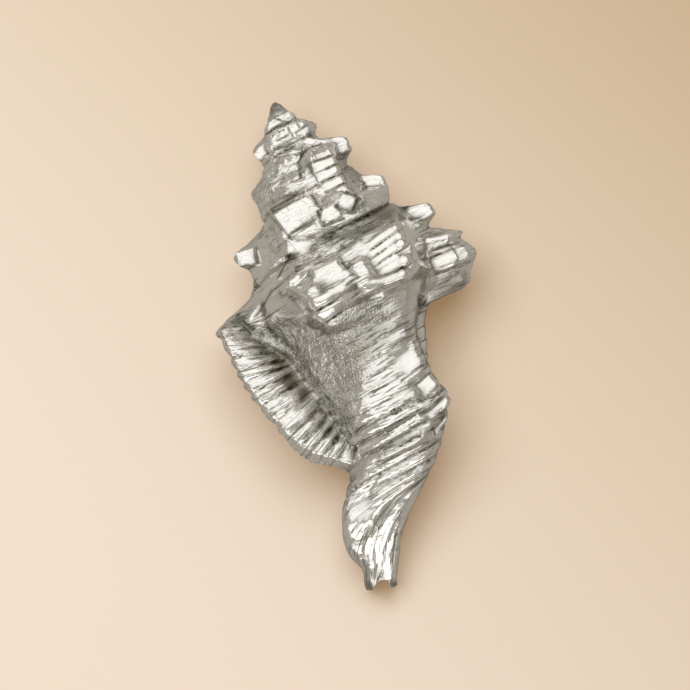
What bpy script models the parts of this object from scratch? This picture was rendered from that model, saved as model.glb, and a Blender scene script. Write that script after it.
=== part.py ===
"""A large sea snail's shell, lying on its mouth: one closed body with an open, curling mouth.

The shell is worked out round its own axis. DOWN is the distance from the apex towards the
mouth of the canal, ACROSS is to the right seen from above, and UP is away from the table.
All lists below are in millimetres and degrees; the finished mesh is in metres.
"""
import math
from collections import namedtuple

import bmesh
import bpy
import numpy as np

NAME = "conch_shell"
LENGTH = 150.6
FULL_TURN = 2.0 * math.pi

# How finely the skin is worked out before it is thinned for the solid
RING_POINTS = 150
RING_COUNT = 170
RING_CROWDING = 1.15
SOLID_TRIANGLES = 8600
REST_WEAR = 0.5

# Centre line of the sections: the canal swings to the left and droops
CENTRE_ACROSS = ((0, 0), (15, 0.3), (30, 1.6), (45, 1.6), (60, 0.6), (80, -0.6), (95, 0.2), (106, 1.0),
                 (113, -1.2), (119, -5.0), (125, -9.6), (131, -13.6), (137, -16.4), (144, -17.3), (151, -19.4))
CENTRE_UP = ((0, -7), (30, -4), (60, 0), (98, 0), (110, -2.4), (125, -10), (138, -18.0), (151, -26.2))

# Radius of the plain skin on four sides, as (down, radius)
RIGHT_SIDE = ((0, 0.4), (2, 2.2), (6, 5.2), (13, 9.0), (28, 16.4), (41, 24.2), (50, 28.6), (58, 29.5),
              (66, 27.5), (72, 22.5), (79, 18.4), (86, 17.6), (94, 17.6), (102, 19.0), (107, 17.0),
              (112, 15.6), (119, 14.6), (125, 13.2), (131, 11.1), (138, 8.5), (144, 6.2), (151, 4.9))
BACK_SIDE = ((0, 0.4), (2, 2.2), (6, 5.2), (13, 9.0), (28, 16.6), (41, 23.5), (50, 27.0), (58, 28.0),
             (66, 26.8), (74, 24.0), (82, 21.6), (90, 20.4), (98, 20.6), (104, 19.8), (110, 17.2),
             (118, 13.8), (125, 12.0), (131, 10.4), (138, 8.4), (144, 6.2), (151, 4.8))
LEFT_SIDE = ((0, 0.4), (2, 2.2), (6, 5.0), (13, 8.6), (28, 15.4), (41, 22.0), (50, 26.0), (58, 27.0),
             (66, 25.0), (74, 22.5), (82, 20.6), (90, 18.2), (98, 16.0), (106, 14.6), (119, 14.6),
             (125, 13.6), (131, 11.6), (138, 8.9), (144, 6.0), (151, 4.9))
MOUTH_SIDE = ((0, 0.4), (2, 2.2), (6, 5.2), (13, 9.0), (28, 15.8), (41, 21.5), (50, 24.0), (60, 24.6),
              (70, 24.4), (80, 23.0), (90, 21.0), (100, 19.0), (110, 16.6), (118, 14.4), (125, 12.6),
              (131, 10.8), (138, 8.6), (144, 6.3), (151, 4.9))

# Depth of the seam between whorls at each turn, counted back from the lip
SEAM = ((-7, 0.8), (-6, 1.3), (-5, 2.4), (-4, 4.4), (-3, 8.3), (-2.5, 12.6), (-2, 17.0), (-1.5, 25.0),
        (-1, 33.0), (-0.5, 40.2), (-0.25, 44.2), (0, 51.5), (0.25, 60), (1, 80), (2, 108), (3, 140), (4, 170))
# Whorl outline from one seam to the next, as a share of the radius
WHORL = ((0, -0.075), (0.06, -0.05), (0.25, -0.035), (0.42, 0.05), (0.55, 0.085), (0.75, 0.045),
         (0.93, -0.02), (1.0, -0.075))

# Knobs on the shoulders: angle round the axis, depth, reach of the tip, half widths, bluntness
Knob = namedtuple("Knob", "angle down reach half_angle half_down blunt")
KNOBS = (
    Knob(5, 10.4, 10.1, 24, 2.1, 2.2),
    Knob(178, 11.9, 11.2, 22, 2.6, 2.4),
    Knob(8, 19.6, 17.6, 20, 3.6, 2.6),
    Knob(182, 24.6, 17.2, 20, 3.4, 2.2),
    Knob(6, 34.2, 23.9, 17, 4.2, 3.0),
    Knob(183, 41.0, 29.3, 13, 4.0, 2.6),
    Knob(-8, 47.4, 33.4, 12, 3.4, 3.0),
    Knob(262, 18.0, 13.2, 22, 2.8, 2.2),
    Knob(285, 36.0, 25.0, 17, 4.2, 2.4),
    Knob(238, 39.0, 26.0, 15, 4.2, 2.4),
    Knob(306, 56.0, 36.0, 14, 6.5, 2.4),
)

# The big spine at the right: reach from the centre line
SPINE_REACH = ((50, 27), (52, 30), (54.4, 36.6), (56.5, 40.0), (60, 41.8), (63, 42.6), (66.5, 41.5),
               (69.1, 39.9), (71.4, 38.0), (72.6, 34.5), (73.4, 27), (75, 20))
SPINE_ANGLE = -4.0
SPINE_HALF_ANGLE = 17.0
# The old lip that runs on under the spine: its angle at each depth
OLD_LIP_ANGLE = ((44, -10), (60, -8), (72, -24), (84, -34), (100, -52))
OLD_LIP_HALF_ANGLE = 9.0
OLD_LIP_HEIGHT = 5.0

# The flared outer lip: reach of its edge, reach of the rim it lies on, and where it leaves the back
LIP_EDGE = ((50, 26.5), (51.5, 27.0), (53.2, 28.0), (55.7, 33.4), (57.8, 38.6), (59.4, 40.9), (62, 40.9),
            (64.6, 40.0), (67.5, 39.4), (75.7, 38.0), (82.7, 36.4), (89.3, 34.6), (95.3, 32.8),
            (100.2, 31.9), (104.3, 29.9), (107.3, 27.0), (110, 21.0), (112.5, 17.0), (116, 14.6), (119, 14.6))
LIP_RIM = ((50, 26), (56, 32), (62, 37.6), (75, 37.9), (90, 37.7), (97, 35.5), (103, 30), (108, 23),
           (112, 17), (119, 14.6))
LIP_START_ANGLE = ((50, 172), (60, 170), (66, 164), (73, 158), (80, 156), (95, 150), (104, 142), (112, 150))

# Swellings on the back: a line across the shell with a half width, a height and how hard its sides are
Swelling = namedtuple("Swelling", "across0 down0 across1 down1 half_width height left right end")
SWELLINGS = (
    Swelling(7.2, 19.0, 9.6, 33.2, 3.6, 4.6, 2.2, 5.0, 0.8),
    Swelling(2.0, 56.0, 19.0, 55.2, 8.0, 4.6, 2.4, 2.4, 0.45),
    Swelling(-8.0, 60.5, 2.0, 59.0, 7.4, 4.4, 2.6, 2.6, 0.5),
    Swelling(-12.0, 53.0, -34.0, 60.5, 3.0, 2.4, 1.6, 2.2, 1.0),
    Swelling(20.0, 102.0, 0.0, 106.0, 4.0, 1.6, 2.0, 2.0, 1.0),
    Swelling(-9.0, 34.5, -1.0, 33.5, 4.2, 2.2, 3.0, 3.0, 0.8),
)
# The trough behind the lip: its right bank, its foot and its depth
TROUGH_BANK = ((52, -24), (56, -20), (62, -17), (71, -13), (83, -8.6), (93, -7.6), (100, -8.4),
               (108, -11), (114, -17), (120, -24))
TROUGH_FOOT = ((52, -33), (60, -32.6), (66.5, -29.7), (72.8, -25.4), (76.7, -23.6), (82, -22.2), (86.8, -20.2),
            (92.5, -17.3), (98.7, -14.8), (106.3, -13), (113, -16.5), (120, -20))
TROUGH_DEPTH = 4.6

# The hollow: sections of the living chamber, from the mouth back round the axis
Chamber = namedtuple("Chamber", "angle reach down half_reach half_down")
CHAMBERS = (
    Chamber(284, 32.0, 94, 8.0, 9.0),
    Chamber(276, 29.0, 92, 11.0, 13.5),
    Chamber(262, 27.0, 87, 14.0, 19.5),
    Chamber(243, 26.0, 83.5, 15.0, 21.5),
    Chamber(226, 21.0, 82, 10.0, 20.0),
    Chamber(205, 17.5, 81, 7.5, 18.0),
    Chamber(180, 14.0, 79, 4.6, 15.5),
    Chamber(150, 12.2, 77, 4.0, 14.0),
    Chamber(120, 12.2, 74, 4.4, 13.0),
    Chamber(90, 13.0, 72, 5.0, 12.5),
    Chamber(60, 13.0, 70, 5.0, 12.0),
    Chamber(30, 12.0, 68, 4.5, 11.0),
    Chamber(0, 11.0, 66, 4.0, 9.0),
    Chamber(-30, 10.0, 64, 3.0, 6.5),
    Chamber(-50, 9.0, 63, 1.4, 3.0),
)
CHAMBER_POINTS = 28
CANAL_HALF_WIDTH = 1.7
CANAL_FLOOR = 2.6
CANAL_START = 97.0
# The groove leaves the left corner of the mouth and joins the middle of the canal
CANAL_START_ASIDE = 6.0
CANAL_STRAIGHT = 116.0
NOTCH_START = 147.4


def smooth_curve(points, at):
    """Value at each place of `at` on a smooth curve through (place, value) points."""
    place, value = np.array(points, float).T
    slope = np.gradient(value, place)
    at = np.clip(at, place[0], place[-1])
    i = np.clip(np.searchsorted(place, at, side="right") - 1, 0, len(place) - 2)
    step = place[i + 1] - place[i]
    u = (at - place[i]) / step
    start = (1 + 2 * u) * (1 - u) ** 2 * value[i] + u * (1 - u) ** 2 * step * slope[i]
    end = u * u * (3 - 2 * u) * value[i + 1] + u * u * (u - 1) * step * slope[i + 1]
    return start + end


def fade_in(low, high, value):
    """0 below low, 1 above high and a smooth rise between."""
    u = np.clip((value - low) / (high - low), 0.0, 1.0)
    return u * u * (3.0 - 2.0 * u)


def angle_from(centre, angle):
    """Signed angle from centre to angle, between -180 and 180 degrees."""
    return (angle - centre + 180.0) % 360.0 - 180.0


def seam_turn(down):
    """Turn number of the seam that passes at this depth."""
    turns = np.linspace(SEAM[0][0], SEAM[-1][0], 1101)
    depths = np.exp(smooth_curve([(turn, math.log(depth)) for turn, depth in SEAM], turns))
    return np.interp(down, depths, turns)


def plain_radius(angle, down):
    """Radius of the plain skin, blended round the axis from its four sides."""
    sideways = np.cos(np.radians(angle))
    upward = np.sin(np.radians(angle))
    side = np.where(sideways > 0, smooth_curve(RIGHT_SIDE, down), smooth_curve(LEFT_SIDE, down))
    face = np.where(upward > 0, smooth_curve(BACK_SIDE, down), smooth_curve(MOUTH_SIDE, down))
    return side * sideways ** 2 + face * upward ** 2


def whorl_share(angle, down):
    """How far the whorls swell out between their seams, as a share of the radius."""
    turn = seam_turn(down) - (angle - 180.0) / 360.0
    last_start = np.where(angle < 180.0, 0.0, -1.0)
    in_last = turn >= last_start
    place = np.where(in_last, turn - last_start, turn - np.floor(turn))
    early = smooth_curve(WHORL, np.minimum(place, 1.0))
    shoulder = smooth_curve(WHORL, np.minimum(place, 0.55)) * (1.0 - fade_in(0.35, 0.75, place))
    return np.where(in_last, shoulder, early)


def with_knobs(radius, angle, down):
    """Raises the knobs of the shoulders."""
    for knob in KNOBS:
        round_axis = angle_from(knob.angle, angle) / knob.half_angle
        along = (down - knob.down) / knob.half_down
        share = np.exp(-np.hypot(round_axis, along) ** knob.blunt)
        radius = radius + np.maximum(knob.reach - radius, 0.0) * share
    return radius


def with_spine(radius, angle, down):
    """Raises the big spine and the old lip that runs on below it."""
    share = np.exp(-np.abs(angle_from(SPINE_ANGLE, angle) / SPINE_HALF_ANGLE) ** 3.2)
    share = share * fade_in(51.5, 55.0, down) * (1.0 - fade_in(71.6, 75.0, down))
    radius = radius + np.maximum(smooth_curve(SPINE_REACH, down) - radius, 0.0) * share
    ridge = angle_from(smooth_curve(OLD_LIP_ANGLE, down), angle) / OLD_LIP_HALF_ANGLE
    height = fade_in(68.0, 73.0, down) * (1.0 - fade_in(84.0, 104.0, down))
    return radius + OLD_LIP_HEIGHT * height * np.exp(-np.abs(ridge) ** 2.5)


def with_lip(radius, angle, down):
    """Flares the skin out to the edge of the outer lip and down to the rim it lies on."""
    start = smooth_curve(LIP_START_ANGLE, down) - 12.0
    share = fade_in(start, 182.0, angle) ** 0.8 * (1.0 - fade_in(232.0, 250.0, angle))
    share = share * fade_in(50.0, 53.0, down) * (1.0 - fade_in(112.0, 117.0, down))
    under = fade_in(184.0, 226.0, angle)
    reach = smooth_curve(LIP_EDGE, down) * (1.0 - under) + smooth_curve(LIP_RIM, down) * under
    return radius + np.maximum(reach - radius, 0.0) * share


def swelling_lift(swelling, across, down):
    """Height of one swelling over the back."""
    run = (swelling.across1 - swelling.across0, swelling.down1 - swelling.down0)
    length = math.hypot(*run)
    along = ((across - swelling.across0) * run[0] + (down - swelling.down0) * run[1]) / length
    aside = ((down - swelling.down0) * run[0] - (across - swelling.across0) * run[1]) / length
    past_end = np.maximum(np.maximum(-along, along - length), 0.0) / swelling.end
    hardness = np.where(aside > 0, swelling.right, swelling.left)
    return swelling.height * np.exp(-(np.hypot(aside, past_end) / swelling.half_width) ** hardness)


def trough_depth(across, down):
    """Depth of the trough behind the lip."""
    below_bank = fade_in(0.0, 5.5, smooth_curve(TROUGH_BANK, down) - across)
    past_foot = fade_in(-1.5, 3.5, smooth_curve(TROUGH_FOOT, down) - across)
    along = fade_in(60.0, 66.0, down) * (1.0 - fade_in(104.0, 112.0, down))
    return TROUGH_DEPTH * along * below_bank * (1.0 - past_foot)


def skin_points(angle, down):
    """Points of the outside, in millimetres, with +Y towards the apex."""
    radius = plain_radius(angle, down) * (1.0 + whorl_share(angle, down))
    radius = with_lip(with_spine(with_knobs(radius, angle, down), angle, down), angle, down)
    across = smooth_curve(CENTRE_ACROSS, down) + radius * np.cos(np.radians(angle))
    up = smooth_curve(CENTRE_UP, down) + radius * np.sin(np.radians(angle))
    lift = np.max([swelling_lift(swelling, across, down) for swelling in SWELLINGS], axis=0)
    on_back = fade_in(0.0, 0.35, np.sin(np.radians(angle)))
    up = up + on_back * (lift - trough_depth(across, down))
    return np.stack([across, -down, up], axis=-1)


def skin_rings():
    """Rings of points from just below the apex to the end of the canal."""
    share = np.arange(1, RING_COUNT + 1) / RING_COUNT
    down = LENGTH * share ** RING_CROWDING
    angle = np.arange(RING_POINTS) * 360.0 / RING_POINTS
    return skin_points(*np.meshgrid(angle, down))


def chamber_rings():
    """Oval sections of the hollow, from outside the mouth back round the axis."""
    table = np.array(CHAMBERS, float)
    angles = np.arange(table[0, 0], table[-1, 0] - 0.1, -5.0)
    reach, down, half_reach, half_down = (
        smooth_curve(list(zip(-table[:, 0], table[:, column])), -angles) for column in range(1, 5))
    turn = np.arange(CHAMBER_POINTS) * FULL_TURN / CHAMBER_POINTS
    radius = reach[:, None] + half_reach[:, None] * np.cos(turn)
    depth = down[:, None] + half_down[:, None] * np.sin(turn)
    radians = np.radians(angles)[:, None]
    across = smooth_curve(CENTRE_ACROSS, depth) + radius * np.cos(radians)
    up = smooth_curve(CENTRE_UP, depth) + radius * np.sin(radians)
    return np.stack([across, -depth, up], axis=-1)


def canal_rings():
    """Oval sections of the open groove along the canal, and of the notch at its end."""
    down = np.linspace(CANAL_START, LENGTH + 6.0, 40)
    skin = smooth_curve(MOUTH_SIDE, down)
    half_height = skin - CANAL_FLOOR + (2.0 * skin) * fade_in(NOTCH_START, NOTCH_START + 2.5, down)
    turn = np.arange(16) * FULL_TURN / 16
    aside = CANAL_START_ASIDE * (1.0 - fade_in(CANAL_START, CANAL_STRAIGHT, down))
    across = (smooth_curve(CENTRE_ACROSS, down) - aside)[:, None] + CANAL_HALF_WIDTH * np.cos(turn)
    centre_up = (smooth_curve(CENTRE_UP, down) - skin)[:, None]
    up = centre_up + half_height[:, None] * np.sin(turn)
    return np.stack([across, np.broadcast_to(-down[:, None], across.shape), up], axis=-1)


def make_collection(name):
    """A new collection in the scene."""
    collection = bpy.data.collections.new(name)
    bpy.context.scene.collection.children.link(collection)
    return collection


def make_loft(name, rings, collection):
    """A closed object skinned over rings of points given in millimetres."""
    ring_count, point_count = rings.shape[:2]
    mesh = bpy.data.meshes.new(name)
    bm = bmesh.new()
    verts = [[bm.verts.new(point) for point in ring * 0.001] for ring in rings]
    for i in range(ring_count - 1):
        for j in range(point_count):
            k = (j + 1) % point_count
            bm.faces.new((verts[i][j], verts[i][k], verts[i + 1][k], verts[i + 1][j]))
    for ring, points in ((verts[0], rings[0]), (verts[-1], rings[-1])):
        centre = bm.verts.new(points.mean(axis=0) * 0.001)
        for j in range(point_count):
            bm.faces.new((centre, ring[j], ring[(j + 1) % point_count]))
    bmesh.ops.recalc_face_normals(bm, faces=bm.faces)
    bmesh.ops.triangulate(bm, faces=bm.faces)
    bm.to_mesh(mesh)
    bm.free()
    made = bpy.data.objects.new(name, mesh)
    collection.objects.link(made)
    return made


def make_cutter(name, rings, collection):
    """A hidden object that is only cut away from the shell."""
    cutter = make_loft(name, rings, collection)
    cutter.hide_render = True
    cutter.display_type = "WIRE"
    return cutter


def cut_away(shell, cutter):
    """Takes the cutter out of the shell."""
    cut = shell.modifiers.new(cutter.name, "BOOLEAN")
    cut.operation = "DIFFERENCE"
    cut.solver = "EXACT"
    cut.object = cutter


def make_floor_cutter(shell, collection):
    """A slab under the shell that wears its lowest points to small flats."""
    lowest = min(vertex.co.z for vertex in shell.data.vertices)
    bpy.ops.mesh.primitive_cube_add(size=0.4)
    slab = bpy.context.active_object
    slab.name = "table_wear"
    slab.location.z = lowest + REST_WEAR * 0.001 - 0.2
    for owner in list(slab.users_collection):
        owner.objects.unlink(slab)
    collection.objects.link(slab)
    slab.hide_render = True
    slab.display_type = "WIRE"
    return slab


def apply_modifiers(shell):
    """Turns the shell's modifiers into its own mesh."""
    bpy.context.view_layer.update()
    evaluated = shell.evaluated_get(bpy.context.evaluated_depsgraph_get())
    mesh = bpy.data.meshes.new_from_object(evaluated)
    shell.modifiers.clear()
    shell.data = mesh


def thin_out(shell):
    """Merges small faces until the solid has about SOLID_TRIANGLES triangles."""
    thin = shell.modifiers.new("thin_out", "DECIMATE")
    thin.ratio = SOLID_TRIANGLES / len(shell.data.polygons)
    thin.use_collapse_triangulate = True


def stand_on_origin(shell):
    """Moves the mesh so that the origin is under the middle of its box."""
    points = np.array([vertex.co for vertex in shell.data.vertices])
    low, high = points.min(axis=0), points.max(axis=0)
    shift = np.array([(low[0] + high[0]) / 2, (low[1] + high[1]) / 2, low[2]])
    for vertex, point in zip(shell.data.vertices, points - shift):
        vertex.co = point


def make_silver():
    """The bright silver plating of the whole surface."""
    silver = bpy.data.materials.new("silver_plating")
    silver.use_nodes = True
    shader = silver.node_tree.nodes["Principled BSDF"]
    shader.inputs["Base Color"].default_value = (0.78, 0.75, 0.69, 1.0)
    shader.inputs["Metallic"].default_value = 1.0
    shader.inputs["Roughness"].default_value = 0.22
    return silver


def main():
    """Builds the shell."""
    for old in list(bpy.data.objects):
        bpy.data.objects.remove(old)
    parts = make_collection("conch_shell_parts")
    cutters = make_collection("cutters")
    shell = make_loft(NAME, skin_rings(), parts)
    for name, rings in (("living_chamber", chamber_rings()), ("canal_groove", canal_rings())):
        cut_away(shell, make_cutter(name, rings, cutters))
    apply_modifiers(shell)
    thin_out(shell)
    apply_modifiers(shell)
    cut_away(shell, make_floor_cutter(shell, cutters))
    apply_modifiers(shell)
    stand_on_origin(shell)
    shell.data.materials.clear()
    shell.data.materials.append(make_silver())
    shell.data.shade_smooth()


main()
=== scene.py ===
"""A silver-plated conch shell that lies on its mouth, with its finish, floor, light and camera.

The shell is worked out round its own axis, in millimetres and degrees. DOWN is the distance
from the apex towards the end of the canal, ACROSS is to the right seen from above, and UP is
away from the table. Angles round the axis start at the right and pass over the back, so the
back is at 90, the outer lip at 180 and the mouth at 270. Whorls grow with the angle.
"""
import logging
import math
from collections.abc import Iterable
from dataclasses import dataclass
from enum import Enum

import bmesh
import bpy
import numpy as np
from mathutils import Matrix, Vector


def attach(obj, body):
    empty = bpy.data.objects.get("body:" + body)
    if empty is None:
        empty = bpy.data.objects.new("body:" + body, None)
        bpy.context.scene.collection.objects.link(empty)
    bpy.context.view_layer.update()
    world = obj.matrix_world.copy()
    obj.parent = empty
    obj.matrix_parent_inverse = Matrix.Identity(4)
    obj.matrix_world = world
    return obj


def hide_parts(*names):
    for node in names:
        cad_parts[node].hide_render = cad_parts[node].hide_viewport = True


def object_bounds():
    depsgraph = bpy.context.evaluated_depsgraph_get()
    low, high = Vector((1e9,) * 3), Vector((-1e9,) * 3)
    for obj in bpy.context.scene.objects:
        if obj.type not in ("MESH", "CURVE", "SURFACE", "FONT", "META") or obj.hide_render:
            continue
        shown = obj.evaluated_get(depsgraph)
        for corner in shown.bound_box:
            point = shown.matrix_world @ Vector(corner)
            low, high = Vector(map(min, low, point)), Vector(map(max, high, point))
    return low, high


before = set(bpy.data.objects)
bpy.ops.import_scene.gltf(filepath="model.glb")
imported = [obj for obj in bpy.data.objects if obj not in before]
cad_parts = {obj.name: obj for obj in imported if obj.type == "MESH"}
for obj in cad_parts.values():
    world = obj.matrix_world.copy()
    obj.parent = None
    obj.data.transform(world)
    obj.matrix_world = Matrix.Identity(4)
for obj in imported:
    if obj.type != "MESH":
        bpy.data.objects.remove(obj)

Grid = np.ndarray
Points = tuple[tuple[float, float], ...]
Colour = tuple[float, float, float]
Span = tuple[float, float, float, float]
Socket = bpy.types.NodeSocket

CAD_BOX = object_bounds()
CAD_NODE = "conch_shell"
MM = 0.001
# Share across the lip's flange of the places that are not on it
OFF_FLANGE = -9.0
# Sine of the angle round the axis above which a flat face may lie: out to the outline, or only on the back
EDGE_ON = 0.02
ON_BACK = 0.18
# Points closer than this are one point, and a smaller face is a sliver: metres and square metres
WELD = 1e-8
SLIVER_AREA = 1e-10
# Where the solid's own box lies in the shell's millimetres: its highest corner across and down, and its foot
SOLID_RIGHT = 42.969
SOLID_TOP_DOWN = 0.408
SOLID_FOOT_UP = -30.129

log = logging.getLogger("conch")


def fade_in(low: float | Grid, high: float | Grid, value: float | Grid) -> Grid:
    """A smooth rise.

    Args:
        low: where the rise starts.
        high: where it is complete.
        value: the places to read.

    Returns:
        0 below low, 1 above high.
    """
    share = np.clip((value - low) / (high - low), 0.0, 1.0)
    return share * share * (3.0 - 2.0 * share)


def angle_from(centre: float | Grid, angle: Grid) -> Grid:
    """Signed angle from centre to angle, between -180 and 180 degrees."""
    return (angle - centre + 180.0) % 360.0 - 180.0


def bell(value: Grid, hardness: float | Grid = 2.0) -> Grid:
    """A bump of height 1, flatter on top and steeper at the sides as the hardness grows."""
    return np.exp(-np.abs(value) ** hardness)


def between(span: Span, value: Grid) -> Grid:
    """Works out where something is.

    Args:
        span: start and end of its fade in, then of its fade out.
        value: where each point lies.

    Returns:
        A mask that rises smoothly from 0 to 1 and falls back to 0.
    """
    return fade_in(span[0], span[1], value) * (1.0 - fade_in(span[2], span[3], value))


def highest(grids: Iterable[Grid]) -> Grid:
    """The highest of several grids at each point."""
    return np.max(list(grids), axis=0)


def sine(angle: Grid) -> Grid:
    """Sine of an angle in degrees."""
    return np.sin(np.radians(angle))


class Part(Enum):
    """The named values that each point of the mesh carries for its finish."""
    CORD_X = "cord_x"
    CORD_Y = "cord_y"
    RUN = "run"
    STRIAE = "striae"
    CRACKLE = "crackle"
    FLAKES = "flakes"
    # darker silver in hollows, with tarnish and painted shade
    SHADE_AND_TARNISH = "hollow"
    STAIN = "stain"


@dataclass(frozen=True)
class Curve:
    """A smooth curve through a few (place, value) points."""
    points: Points

    def at(self, where: Grid) -> Grid:
        """Reads the curve.

        Args:
            where: places to read; outside the points the end values hold.

        Returns:
            The values there.
        """
        place, value = np.array(self.points, float).T
        slope = np.gradient(value, place)
        where = np.clip(where, place[0], place[-1])
        i = np.clip(np.searchsorted(place, where, side="right") - 1, 0, len(place) - 2)
        step = place[i + 1] - place[i]
        u = (where - place[i]) / step
        start = (1 + 2 * u) * (1 - u) ** 2 * value[i] + u * (1 - u) ** 2 * step * slope[i]
        end = u * u * (3 - 2 * u) * value[i + 1] + u * u * (u - 1) * step * slope[i + 1]
        return start + end


class Grain:
    """Smooth unevenness that is the same each time, between -1 and 1."""

    def __init__(self, seed: int, size: int = 24) -> None:
        """Fills a repeating lattice.

        Args:
            seed: picks the pattern.
            size: cells along each side before the pattern repeats.
        """
        self.size = size
        self.lattice = np.random.default_rng(seed).uniform(-1.0, 1.0, (size, size, size))

    def at(self, x: Grid, y: Grid, z: Grid) -> Grid:
        """Reads the pattern.

        Args:
            x: first coordinate, in cells.
            y: second coordinate, in cells.
            z: third coordinate, in cells.

        Returns:
            The unevenness there.
        """
        whole = [np.floor(part).astype(int) for part in (x, y, z)]
        share = [fade_in(0.0, 1.0, part - floor) for part, floor in zip((x, y, z), whole)]
        total = np.zeros(np.broadcast(x, y, z).shape)
        for corner in range(8):
            weight = 1.0
            index = []
            for axis in range(3):
                bit = corner >> axis & 1
                weight = weight * (share[axis] if bit else 1.0 - share[axis])
                index.append((whole[axis] + bit) % self.size)
            total = total + weight * self.lattice[tuple(index)]
        return total


@dataclass(frozen=True)
class Coil:
    """The grown tube: its bent centre line, its plain radius on four sides, and its whorls."""
    length: float = 152.0
    centre_across: Curve = Curve((
        (0, 0.5), (15, 0.4), (30, 1.6), (45, 1.6), (60, 0.6), (80, -0.6), (95, 0.2), (106, 1.0),
        (113, -1.2), (119, -5.0), (125, -9.6), (131, -13.6), (137, -16.4), (144, -17.3), (151, -19.4)))
    centre_up: Curve = Curve((
        (0, -7), (30, -4), (60, 0), (98, 0), (110, -2.4), (125, -10), (138, -18.0), (151, -26.2)))
    right_side: Curve = Curve((
        (0, 1.5), (1.2, 1.95), (2.6, 2.8), (6, 5.2), (13, 9.0), (28, 16.4), (37.5, 21.0), (42, 24.6),
        (50, 28.6), (58, 29.5), (66, 27.5), (72, 22.5), (79, 18.4), (86, 17.6), (94, 17.6), (102, 19.0),
        (107, 17.0), (112, 15.6), (119, 14.6), (125, 13.2), (131, 11.1), (138, 8.5), (144, 6.2),
        (151, 4.9)))
    back_side: Curve = Curve((
        (0, 1.5), (1.2, 1.95), (2.6, 2.8), (6, 5.2), (13, 9.0), (28, 16.6), (41, 23.5), (50, 27.0),
        (58, 28.0), (66, 26.8), (74, 24.0), (82, 21.6), (90, 20.4), (98, 20.6), (104, 19.8), (110, 17.4),
        (118, 14.8), (125, 13.8), (131, 13.2), (138, 12.6), (144, 11.8), (151, 11.0)))
    left_side: Curve = Curve((
        (0, 1.5), (1.2, 1.95), (2.6, 2.8), (6, 5.0), (13, 8.6), (28, 15.4), (41, 22.0), (50, 26.0),
        (58, 27.0), (66, 25.0), (74, 22.5), (82, 20.6), (90, 18.2), (98, 16.0), (106, 14.6), (119, 14.6),
        (125, 13.6), (131, 11.6), (138, 8.9), (144, 6.0), (151, 4.9)))
    mouth_side: Curve = Curve((
        (0, 1.5), (1.2, 1.95), (2.6, 2.8), (6, 5.2), (13, 9.0), (28, 15.8), (41, 21.5), (50, 24.0),
        (60, 24.6), (70, 24.4), (80, 23.0), (90, 21.0), (100, 19.0), (110, 16.6), (118, 14.4), (125, 12.6),
        (131, 10.8), (138, 8.6), (144, 6.3), (151, 4.9)))
    # Depth of the seam between whorls at each turn, counted back from the lip
    seam: Curve = Curve((
        (-7, 0.8), (-6, 1.3), (-5, 2.4), (-4, 4.4), (-3, 8.3), (-2.5, 12.6), (-2, 17.0), (-1.5, 25.0),
        (-1, 33.0), (-0.5, 40.2), (-0.25, 44.2), (0, 51.5), (0.25, 60), (1, 80), (2, 108), (3, 140),
        (4, 170)))
    # Whorl outline from one seam to the next, as a share of the radius
    whorl: Curve = Curve((
        (0, -0.075), (0.06, -0.050), (0.25, -0.035), (0.42, 0.05), (0.55, 0.085), (0.75, 0.045),
        (0.93, -0.02), (1.0, -0.075)))
    # Where a whorl is widest, and where the last whorl's swelling fades out, as shares of a turn
    shoulder: float = 0.55
    last_fade: tuple[float, float] = (0.35, 0.75)
    # Depth of the crease at a seam, its half width in turns, and the radii over which it sets in
    seam_crease: float = 0.4
    seam_width: float = 0.035
    seam_fade: tuple[float, float] = (1.0, 20.0)
    # Length of the rounded tip above the apex; the whorls swell out only below it
    nose_length: float = 0.75
    smooth_tip: tuple[float, float] = (2.0, 4.6)
    # How far the base and the canal are squared off on the back, and how square they are there
    squared_right: Points = ((66, 0.0), (80, 1.0), (104, 1.0), (114, 0.7), (124, 1.0))
    squared_left: Points = ((112, 0.0), (124, 1.0))
    squareness: float = 4.5
    # Number of steps in which the seam is followed
    seam_steps: int = 1101

    def seam_turn(self, down: Grid) -> Grid:
        """Finds the seam.

        Args:
            down: depth along the axis.

        Returns:
            Turn number of the seam that passes there.
        """
        turns = np.linspace(self.seam.points[0][0], self.seam.points[-1][0], self.seam_steps)
        logs = Curve(tuple((turn, math.log(depth)) for turn, depth in self.seam.points))
        return np.interp(down, np.exp(logs.at(turns)), turns)

    def plain_radius(self, angle: Grid, down: Grid) -> Grid:
        """Radius before any relief, blended round the axis from the four sides.

        Args:
            angle: angle round the axis.
            down: depth along the axis.

        Returns:
            The radius in millimetres.
        """
        sideways, upward = np.cos(np.radians(angle)), np.sin(np.radians(angle))
        side = np.where(sideways > 0, self.right_side.at(down), self.left_side.at(down))
        face = np.where(upward > 0, self.back_side.at(down), self.mouth_side.at(down))
        plain = side * sideways ** 2 + face * upward ** 2
        power = self.squareness
        square = (np.abs(sideways / side) ** power + np.abs(upward / face) ** power) ** (-1.0 / power)
        on_right, on_left = (np.interp(down, *np.transpose(points))
                             for points in (self.squared_right, self.squared_left))
        share = np.where(sideways > 0, on_right, on_left)
        return plain + share * (upward > 0) * (square - plain)

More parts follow.
